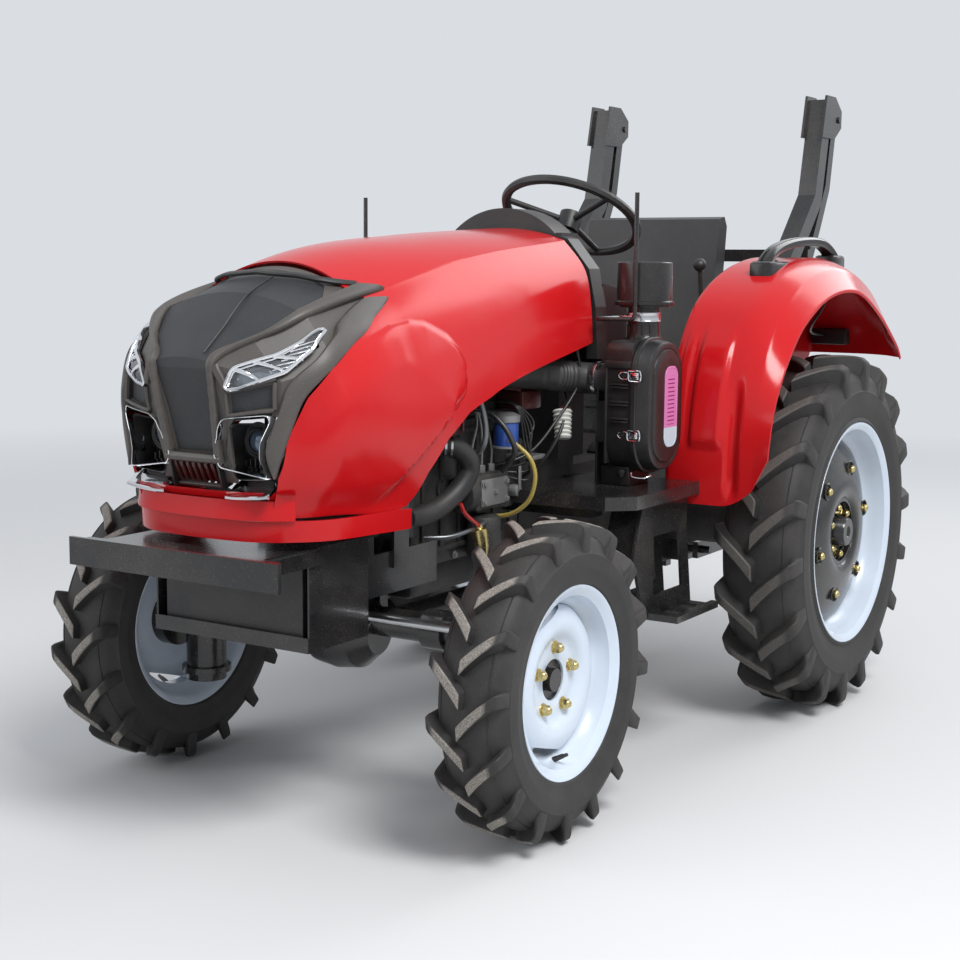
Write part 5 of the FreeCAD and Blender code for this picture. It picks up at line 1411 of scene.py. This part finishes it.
def air_cleaner():
    """Air cleaner beside the dash: ledged box, rimmed end cover with a gauge, wire clips, neck and rain cap."""
    side = lambda a, b, t: Vector((t, -0.069 + a, 0.943 + b))
    bm = bmesh.new()
    stacked(bm, ((0.380, 0.088, 0.158, 0.030, 0.066), (0.3765, 0.094, 0.165, 0.030, 0.072),
                 (0.377, 0.099, 0.169, 0.030, 0.078), (0.383, 0.102, 0.172, 0.030, 0.080),
                 (0.455, 0.103, 0.173, 0.030, 0.082)), side)
    for top, out in ((1.1065, 0.1600), (1.0850, 0.1680), (1.0630, 0.1760)):
        block(bm, (0.3755, -out, top - 0.0185), (0.4545, -0.120, top), 0.0022)
    block(bm, (0.3755, -0.1735, 0.790), (0.3830, -0.120, 1.045), 0.002)
    for z in (1.0015, 0.9935, 0.9560, 0.9480, 0.9115, 0.9035):
        made = block(bm, (0.394, -0.1785, z - 0.0022), (0.448, -0.165, z + 0.0022), 0.0008)
        for v in made:
            if v.is_valid and v.co.x < 0.410 and v.co.y < -0.172:
                v.co.y += 0.005
    # end cover: dark flange, face with a raised oval
    cover = (
        (0.4560, 0.108, 0.177, 0.094), (0.4575, 0.112, 0.181, 0.098), (0.4680, 0.112, 0.181, 0.098),
        (0.4700, 0.109, 0.178, 0.095), (0.4705, 0.105, 0.174, 0.092), (0.4720, 0.1045, 0.1735, 0.092),
        (0.4960, 0.1010, 0.1700, 0.090), (0.5030, 0.0985, 0.1675, 0.088), (0.5060, 0.0930, 0.162, 0.083),
        (0.5060, 0.0840, 0.1530, 0.074), (0.5045, 0.0825, 0.1515, 0.073), (0.5045, 0.0800, 0.1490, 0.071),
        (0.5085, 0.0785, 0.1475, 0.070), (0.5100, 0.0750, 0.1440, 0.067), (0.5100, 0.0550, 0.122, 0.050),
    )
    stacked(bm, cover, side, steps=12)
    # foot, bracket and the duct behind
    block(bm, (0.345, -0.130, 0.7285), (0.430, -0.010, 0.780), 0.003)
    block(bm, (0.334, -0.142, 0.7285), (0.3405, -0.012, 1.050), 0.0015)
    block(bm, (0.336, -0.150, 0.842), (0.372, -0.030, 0.955), 0.006)
    disc_at(bm, (0.412, -0.140, 0.764), (0, 0, 1), 0.009, 0.020, sides=16, top=0.013, edge=0.001)
    made = piece("cleaner_box", bm, soft_black, "chassis", "black_plastic", smooth=34.0)
    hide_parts("air_cleaner")

    cap = bmesh.new()
    turned(cap, ((0.050, 1.115), (0.0455, 1.122), (0.0430, 1.135), (0.0420, 1.150), (0.0420, 1.199), (0.0640, 1.201),
                 (0.0665, 1.2025), (0.0665, 1.206), (0.0775, 1.2065), (0.0790, 1.208), (0.0795, 1.212),
                 (0.0790, 1.216),
                 (0.0770, 1.2175), (0.0742, 1.2190), (0.0738, 1.2210), (0.0738, 1.3150), (0.0730, 1.3185),
                 (0.0705, 1.3205), (0.0600, 1.3212), (0.0560, 1.3195)), CAP_AXIS, (0, 0, 1), 72)
    for k in range(5):
        angle = math.radians(200 + 30 * k)
        spot = Vector((0.42 + 0.0425 * math.cos(angle), -0.04 + 0.0425 * math.sin(angle), 1.135))
        block(cap, spot - Vector((0.002, 0.002, 0.022)), spot + Vector((0.002, 0.002, 0.022)), 0.0008)
    piece("cleaner_cap", cap, glossy_black, "chassis", "black_plastic", smooth=34.0)

    window = bmesh.new()
    face = lambda a, b, t: Vector((t, -0.051 + a, 0.9405 + b))
    stacked(window,
            ((0.5090, 0.0385, 0.1075, 0.030), (0.5116, 0.0385, 0.1075, 0.030), (0.5122, 0.0370, 0.1060, 0.029),
                     (0.5122, 0.0340, 0.1030, 0.026), (0.5112, 0.0330, 0.1020, 0.025)), face, steps=10)
    piece("cleaner_gauge", window, gauge_finish(), "chassis", smooth=34.0)

    wires = bmesh.new()
    for z in (1.0255, 0.8700):
        y = -0.1835
        loop = [(x, y, z + h) for x, h in ((0.452, 0.0135), (0.484, 0.0140), (0.487, 0.0), (0.484, -0.0140),
                                           (0.452, -0.0135), (0.449, 0.0))]
        corners = rounded([Vector(p) for p in loop] + [Vector(loop[0])], 0.005)
        sweep(wires, corners, round_outline(0.0021, 8), closed=True, up=(0, -1, 0))
        loop_wire(wires, [(x, y + 0.002, z + h) for x, h in ((0.449, 0.0065), (0.430, 0.0085), (0.4215, 0.0),
                                                            (0.430, -0.0085), (0.449, -0.0065))], 0.0018, 30)
        block(wires, (0.455, y + 0.001, z - 0.009), (0.479, y + 0.0045, z + 0.009), 0.0012)
        block(wires, (0.462, y - 0.002, z - 0.0035), (0.476, y + 0.002, z + 0.0035), 0.0010)
    tube(wires, [(0.455, -0.165, 0.770), (0.462, -0.170, 0.760), (0.490, -0.165, 0.758), (0.503, -0.150, 0.764),
                 (0.498, -0.120, 0.762)], 0.002, 8, 24)
    piece("cleaner_wires", wires, chrome_plate, "chassis", "bare_steel", smooth=40.0)

    clamps = bmesh.new()
    turned(clamps, ((0.0425, 1.1635), (0.0452, 1.1637), (0.0455, 1.1650), (0.0449, 1.1660), (0.0449, 1.1850),
                    (0.0455, 1.1860), (0.0452, 1.1873), (0.0425, 1.1875)), CAP_AXIS, (0, 0, 1), 60)
    ahead = Vector((-0.20, -0.98, 0)).normalized()
    screw = Vector((0.42, -0.04, 1.1755)) + ahead * 0.049
    sideways = Vector((-0.98, 0.20, 0)).normalized()
    disc_at(clamps, screw + sideways * 0.012, sideways, 0.0062, 0.044, sides=20, edge=0.0012)
    disc_at(clamps, screw + sideways * 0.037, sideways, 0.0052, 0.007, sides=6, edge=0.0006)
    block(clamps, screw - Vector((0.009, 0.004, 0.0095)), screw + Vector((0.009, 0.006, 0.0095)), 0.0012)
    turned(clamps,
           ((0.0425, 0.0), (0.0455, 0.0004), (0.0458, 0.002), (0.0458, 0.011), (0.0455, 0.0126), (0.0425, 0.013)),
           (0.319, -0.110, 1.010), (1, 0, 0), 60)
    for x, y, z, radius, axis in ((0.196, -0.640, 0.865, 0.0275, (0.75, 0.65, -0.05)),
                                  (0.186, -0.652, 0.866, 0.0275, (0.75, 0.65, -0.05))):
        turned(clamps,
               ((radius - 0.002, 0), (radius + 0.0012, 0.0006), (radius + 0.0012, 0.006), (radius - 0.002, 0.0066)),
               (x, y, z), axis, 40)
    piece("hose_clamps", clamps, worm_steel, "chassis", "bare_steel", smooth=34.0)


def engine_hoses():
    bm = bmesh.new()
    route = curve([(0.377, -0.110, 1.010), (0.330, -0.110, 1.010), (0.285, -0.118, 1.012), (0.245, -0.175, 1.018),
                   (0.215, -0.260, 1.026), (0.185, -0.350, 1.030), (0.120, -0.400, 1.015)], 90)

    def ribbed(t):
        if 0.30 < t < 0.46:
            return 1.0 + 0.095 * (0.5 - 0.5 * math.cos((t - 0.30) / 0.16 * math.tau * 5))
        return 1.0 + (0.05 if 0.56 < t < 0.60 else 0.0)

    sweep(bm, route, round_outline(0.0405, 28), size=ribbed)
    tube(bm, [(0.140, -0.690, 0.862), (0.175, -0.664, 0.868), (0.204, -0.634, 0.864), (0.224, -0.606, 0.838),
              (0.226, -0.596, 0.800), (0.212, -0.630, 0.752), (0.194, -0.690, 0.716), (0.184, -0.745, 0.706),
              (0.182, -0.802, 0.705)], 0.0255, 24, 72)
    tube(bm, [(0.150, -0.800, 1.120), (0.140, -0.770, 1.120), (0.120, -0.730, 1.090), (0.100, -0.700, 1.030)], 0.020,
         20, 30)
    made = piece("engine_hoses", bm, hose_rubber, "chassis", "hose_rubber", smooth=60.0)
    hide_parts("hoses")
    thin = bmesh.new()
    tube(thin, [(0.205, -0.560, 1.000), (0.226, -0.552, 0.975), (0.240, -0.548, 0.925), (0.243, -0.548, 0.885),
                (0.232, -0.550, 0.852), (0.200, -0.552, 0.838), (0.155, -0.552, 0.836)], 0.0075, 14, 40)
    tube(thin, [(0.152, -0.690, 0.640), (0.200, -0.640, 0.640), (0.225, -0.560, 0.655), (0.215, -0.470, 0.665)],
         0.006, 12, 30)
    piece("coolant_pipe", thin, pipe_grey, "chassis", "bare_steel", smooth=60.0)
    lines = bmesh.new()
    tube(lines, [(0.160, -0.540, 0.955), (0.217, -0.505, 0.943), (0.255, -0.495, 0.915), (0.280, -0.490, 0.880),
                 (0.290, -0.485, 0.840), (0.250, -0.480, 0.790)], 0.0072, 12, 50)
    for k in range(5):
        shift = 0.012 * k
        tube(lines, [(0.150, -0.330 - shift, 0.960), (0.205 + shift / 2, -0.330 - shift, 0.945),
                     (0.235, -0.300 - shift, 0.900 - shift), (0.225 + shift / 3, -0.330, 0.850 - 2 * shift),
                     (0.165, -0.360 - shift, 0.780)], 0.0032, 8, 36)
    tube(lines, [(0.290, -0.170, 1.090), (0.285, -0.150, 1.000), (0.262, -0.230, 0.900), (0.235, -0.330, 0.820),
                 (0.165, -0.420, 0.790)], 0.0040, 8, 40)
    tube(lines, [(0.180, -0.100, 0.990), (0.240, -0.140, 0.960), (0.268, -0.210, 0.880), (0.240, -0.250, 0.800),
                 (0.170, -0.260, 0.740)], 0.0045, 8, 40)
    piece("thin_lines", lines, soft_black, "chassis", "hose_rubber", smooth=60.0)
    fuel = bmesh.new()
    tube(fuel, [(0.262, -0.470, 0.872), (0.292, -0.455, 0.848), (0.318, -0.450, 0.820), (0.330, -0.450, 0.775),
                (0.312, -0.450, 0.718), (0.262, -0.450, 0.680), (0.200, -0.450, 0.667)], 0.0058, 12, 60)
    piece("fuel_line", fuel, fuel_hose, "chassis", "hose_rubber", smooth=60.0)


def side_block(bm, side, low, high, edge):
    """Block given for the left side, put on the wanted side."""
    ends = sorted((side * low[0], side * high[0]))
    block(bm, (ends[0], *low[1:]), (ends[1], *high[1:]), edge)


def engine_detail():
    """Ribbed block, covers, injection pump with its pipes, filters and belt drive over the engine's main masses."""
    bm = bmesh.new()
    block(bm, (-0.150, -0.740, 0.562), (0.150, -0.230, 0.920), 0.008)
    block(bm, (-0.110, -0.680, 0.472), (0.110, -0.230, 0.570), 0.022)
    block(bm, (-0.115, -0.710, 0.915), (0.115, -0.230, 0.985), 0.006)
    block(bm, (-0.134, -0.716, 0.921), (0.134, -0.232, 0.930), 0.002)
    for side in (1, -1):
        for k in range(6):
            y = -0.700 + k * 0.082
            side_block(bm, side, (0.146, y, 0.600), (0.157, y + 0.012, 0.880), 0.002)
        for z in (0.596, 0.886):
            side_block(bm, side, (0.146, -0.735, z), (0.158, -0.235, z + 0.012), 0.002)
        for k in range(3):
            y = -0.600 + k * 0.125
            disc_at(bm, (side * 0.152, y, 0.750), (side, 0, 0), 0.030, 0.010, sides=32, edge=0.002)
            disc_at(bm, (side * 0.156, y, 0.750), (side, 0, 0), 0.022, 0.006, sides=32, edge=0.001)
    cover = lambda a, b, t: Vector((a, t, 1.013 + b))
    stacked(bm, ((-0.690, 0.086, 0.030, 0.024, 0.004), (-0.684, 0.092, 0.035, 0.026, 0.004),
                 (-0.262, 0.092, 0.035, 0.026, 0.004), (-0.256, 0.086, 0.030, 0.024, 0.004)), cover)
    disc_at(bm, (0.040, -0.600, 1.056), (0, 0, 1), 0.022, 0.018, sides=24, edge=0.003)
    # pump beside the block, with its governor case and lever
    block(bm, (0.148, -0.540, 0.690), (0.214, -0.385, 0.782), 0.008)
    block(bm, (0.150, -0.385, 0.680), (0.200, -0.330, 0.770), 0.012)
    disc_at(bm, (PUMP_X, -0.556, 0.735), (0, 1, 0), 0.046, 0.040, sides=36, edge=0.004)
    # oil filter
    turned(bm, ((0.042, 0.570), (0.044, 0.575), (0.044, 0.664), (0.041, 0.672), (0.034, 0.675)), (0.196, -0.480, 0),
           (0, 0, 1), 36)
    # starter and dynamo on the other side
    disc_at(bm, (-0.206, -0.650, 0.735), (0, 1, 0), 0.050, 0.110, sides=40, edge=0.006)
    for k in range(14):
        angle = math.tau * k / 14
        spot = Vector((-0.206 + 0.047 * math.cos(angle), -0.660, 0.735 + 0.047 * math.sin(angle)))
        block(bm, spot - Vector((0.004, 0.035, 0.004)), spot + Vector((0.004, 0.035, 0.004)), 0.001)
    disc_at(bm, (-0.190, -0.330, 0.560), (0, 1, 0), 0.042, 0.150, sides=36, edge=0.004)
    made = piece("engine_body", bm, cast_engine, "chassis", "cast_engine", smooth=34.0)
    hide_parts("engine")
    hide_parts("engine_parts")

    bright = bmesh.new()
    for k in range(3):
        y = -0.515 + k * 0.045
        disc_at(bright, (PUMP_X, y, 0.790), (0, 0, 1), 0.0095, 0.022, sides=6, edge=0.001)
        tube(bright, [(PUMP_X, y, 0.800), (PUMP_X, y, 0.850), (0.176, y - 0.030 * (k - 1), 0.915),
                      (0.140, y - 0.050 * (k - 1), 0.975), (0.100, y - 0.050 * (k - 1), 0.990)], 0.0034, 8, 40)
        disc_at(bright, (0.100, -0.600 + 0.130 * k, 1.000), (0, 0, 1), 0.011, 0.030, sides=6, edge=0.001)
    block(bright, (0.2135, -0.525, 0.700), (0.2200, -0.400, 0.770), 0.004)
    for y, z in ((-0.515, 0.712), (-0.410, 0.712), (-0.515, 0.758), (-0.410, 0.758), (-0.462, 0.735)):
        hex_bolt(bright, (0.2200, y, z), (1, 0, 0), 0.012, 0.006)
    disc_at(bright, (0.208, -0.350, 0.725), (1, 0, 0), 0.016, 0.030, sides=24, edge=0.002)
    block(bright, (0.222, -0.356, 0.722), (0.227, -0.344, 0.790), 0.002)
    for k in range(7):
        for side in (1, -1):
            hex_bolt(bright, (side * 0.126, -0.690 + 0.070 * k, 0.985), (0, 0, 1), 0.014, 0.008)
    for k in range(4):
        hex_bolt(bright, (0.157, -0.690 + 0.135 * k, 0.578), (1, 0, 0), 0.012, 0.006)
        hex_bolt(bright, (0.157, -0.690 + 0.135 * k, 0.902), (1, 0, 0), 0.012, 0.006)
    piece("engine_bright", bright, cast_grey, "chassis", "bare_steel", smooth=34.0)

    drive = bmesh.new()
    for x, z, radius in ((0.0, 0.640, 0.072), (0.0, 0.900, 0.055), (-0.206, 0.735, 0.036)):
        turned(drive, ((radius - 0.012, -0.014), (radius, -0.012), (radius, -0.008), (radius - 0.007, 0.0),
                       (radius, 0.008), (radius, 0.012), (radius - 0.012, 0.014)), (x, BELT_Y, z), (0, 1, 0), 48)
    path = rounded([(-0.050, BELT_Y, 0.580), (0.068, BELT_Y, 0.600), (0.064, BELT_Y, 0.900), (0.0, BELT_Y, 0.962),
                    (-0.180, BELT_Y, 0.785), (-0.246, BELT_Y, 0.720), (-0.050, BELT_Y, 0.580)], 0.060, 10)
    sweep(drive, path, bar_outline(0.010, 0.008, 0.002), up=(0, 1, 0), closed=True)
    piece("belt_drive", drive, hose_rubber, "chassis", "hose_rubber", smooth=40.0)

    blue = bmesh.new()
    turned(blue, ((0.030, 0.845), (0.032, 0.850), (0.032, 0.905), (0.030, 0.910)), (0.215, -0.405, 0), (0, 0, 1), 36)
    piece("fuel_filter", blue, filter_blue, "chassis", smooth=34.0)
    head = bmesh.new()
    turned(head, ((0.020, 0.840), (0.036, 0.842), (0.036, 0.846), (0.030, 0.848)), (0.215, -0.405, 0), (0, 0, 1), 36)
    turned(head, ((0.030, 0.908), (0.036, 0.910), (0.036, 0.926), (0.020, 0.934)), (0.215, -0.405, 0), (0, 0, 1), 36)
    block(head, (0.120, -0.425, 0.915), (0.205, -0.385, 0.930), 0.003)
    block(head, (0.150, -0.300, 0.800), (0.235, -0.235, 0.812), 0.002)
    piece("filter_head", head, cast_grey, "chassis", "bare_steel", smooth=34.0)
    red = bmesh.new()
    block(red, (0.165, -0.650, 0.892), (0.205, -0.585, 0.972), 0.004)
    block(red, (0.196, -0.640, 0.900), (0.212, -0.632, 0.965), 0.002)
    block(red, (0.196, -0.604, 0.900), (0.212, -0.596, 0.965), 0.002)
    block(red, (0.120, -0.300, 0.930), (0.200, -0.200, 0.980), 0.006)
    block(red, (0.238, -0.172, 0.905), (0.262, -0.150, 0.935), 0.003)
    tube(red, [(0.150, -0.450, 1.000), (0.180, -0.380, 0.996), (0.190, -0.300, 0.985)], 0.006, 10, 20)
    piece("red_parts", red, fin_red, "chassis", smooth=34.0)
    boot = bmesh.new()
    rings = []
    for k in range(29):
        swell = 0.0045 * (0.5 - 0.5 * math.cos(math.tau * k / 4))
        rings.append((0.019 + swell + 0.004 * k / 28, 0.0028 * k))
    turned(boot, rings, (0.262, -0.190, 0.850), (-0.16, 0.20, 1), 28)
    piece("bellows_boot", boot, bellows_white, "chassis", smooth=40.0)
    cone = bmesh.new()
    turned(cone, ((0.007, 0.0), (0.010, 0.004), (0.018, 0.032), (0.022, 0.060), (0.022, 0.066), (0.012, 0.070),
                  (0.012, 0.078)), (0.250, -0.560, 0.585), (-0.25, 0, 1), 28)
    piece("drain_cone", cone, yellow_zinc, "chassis", "bare_steel", smooth=34.0)
    lever = bmesh.new()
    tube(lever, [(0.236, -0.555, 0.655), (0.236, -0.585, 0.672), (0.232, -0.625, 0.700), (0.230, -0.640, 0.725)],
         0.0055,
         10, 20)
    piece("drain_lever", lever, red_lens, "chassis", smooth=40.0)


def silencer():
    bm = bmesh.new()
    turned(bm, ((0.050, 0.262), (0.058, 0.266), (0.060, 0.272), (0.060, 0.300), (0.0615, 0.302), (0.0615, 0.306),
                (0.060, 0.308), (0.060, 0.560), (0.0615, 0.562), (0.0615, 0.566), (0.060, 0.568), (0.060, 0.580),
                (0.058, 0.588), (0.050, 0.592)), (-0.215, -0.902, 0.900), (0, 1, 0), 48)
    tube(bm, [(-0.150, -0.480, 0.900), (-0.185, -0.480, 0.900), (-0.215, -0.480, 0.900)], 0.024, 20, 8)
    tube(bm, [(-0.215, -0.560, 0.880), (-0.215, -0.560, 0.800), (-0.215, -0.560, 0.600), (-0.222, -0.560, 0.560)],
         0.022,
         20, 24)
    made = piece("silencer", bm, pipe_grey, "chassis", "bare_steel", smooth=34.0)
    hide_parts("exhaust")


air_cleaner()
engine_hoses()
engine_detail()
silencer()

# ---------------------------------------------------------------- floor, light, camera

PALE = (0.70, 0.73, 0.77)


def studio():
    mesh = bpy.data.meshes.new("floor")
    bm = bmesh.new()
    bmesh.ops.create_grid(bm, x_segments=1, y_segments=1, size=60.0)
    bm.to_mesh(mesh)
    bm.free()
    floor = bpy.data.objects.new("floor", mesh)
    bpy.context.scene.collection.objects.link(floor)
    pale = finish_of("floor_pale", (0.66, 0.66, 0.66), 0.90, dust=0.0, coarse=4.0, bump=0.05)
    tree = pale.node_tree
    tree.nodes["Principled BSDF"].inputs["Specular IOR Level"].default_value = 0.15
    where = tree.nodes["Texture Coordinate"].outputs["Object"]
    off = add_node(tree, "ShaderNodeVectorMath", {0: where}, operation="LENGTH").outputs["Value"]
    far = math_of(tree, "MULTIPLY", span(tree, off, 2.6, 9.0), add_node(tree, "ShaderNodeLightPath").outputs[0], True)
    backdrop = add_node(tree, "ShaderNodeEmission", {"Color": rgb(PALE), "Strength": 1.0})
    both = add_node(tree, "ShaderNodeMixShader", {0: far, 1: tree.nodes["Principled BSDF"].outputs[0],
                                                  2: backdrop.outputs[0]})
    tree.links.new(both.outputs[0], tree.nodes["Material Output"].inputs["Surface"])
    mesh.materials.append(pale)
    for name, place, size, power in (
        ("key", (3.6, -2.2, 5.2), 2.2, 300.0),
        ("fill", (-4.0, -4.5, 3.2), 4.0, 80.0),
        ("back", (1.5, 5.5, 4.5), 4.0, 150.0),
    ):
        lamp = bpy.data.lights.new(name, "AREA")
        lamp.size = size
        lamp.energy = power
        holder = bpy.data.objects.new(name, lamp)
        holder.location = place
        holder.rotation_mode = "QUATERNION"
        holder.rotation_quaternion = (Vector(place) - Vector((0, -0.2, 0.7))).to_track_quat("Z", "Y")
        bpy.context.scene.collection.objects.link(holder)
    world = bpy.data.worlds.new("studio_sky")
    bpy.context.scene.world = world
    world.use_nodes = True
    tree = world.node_tree
    light = tree.nodes["Background"]
    light.inputs["Color"].default_value = (0.90, 0.94, 1.0, 1.0)
    light.inputs["Strength"].default_value = 0.62
    seen = add_node(tree, "ShaderNodeBackground", {"Color": rgb(PALE), "Strength": 1.0})
    path = add_node(tree, "ShaderNodeLightPath")
    direct = math_of(tree, "MAXIMUM", path.outputs["Is Camera Ray"], path.outputs["Is Glossy Ray"])
    direct = math_of(tree, "MAXIMUM", direct, path.outputs["Is Transmission Ray"])
    both = add_node(tree, "ShaderNodeMixShader", {0: direct, 1: light.outputs[0], 2: seen.outputs[0]})
    tree.links.new(both.outputs[0], tree.nodes["World Output"].inputs["Surface"])


def camera():
    """Camera at the photograph's viewpoint: eye, heading from straight ahead, dip, roll and lens."""
    eye = Vector((2.3589, -3.9055, 1.3019))
    heading, dip, roll = math.radians(32.41), math.radians(-7.56), 0.0091
    look = Vector((-math.sin(heading) * math.cos(dip), math.cos(heading) * math.cos(dip), math.sin(dip)))
    data = bpy.data.cameras.new("photo_camera")
    data.lens = 60.0
    data.sensor_width = 36.0
    data.clip_end = 200.0
    holder = bpy.data.objects.new("photo_camera", data)
    turn = (-look).to_track_quat("Z", "Y").to_matrix() @ Matrix.Rotation(roll, 3, "Z")
    holder.matrix_world = Matrix.Translation(eye) @ turn.to_4x4()
    bpy.context.scene.collection.objects.link(holder)
    bpy.context.scene.camera = holder


studio()
camera()
bpy.context.scene.view_settings.view_transform = "Standard"
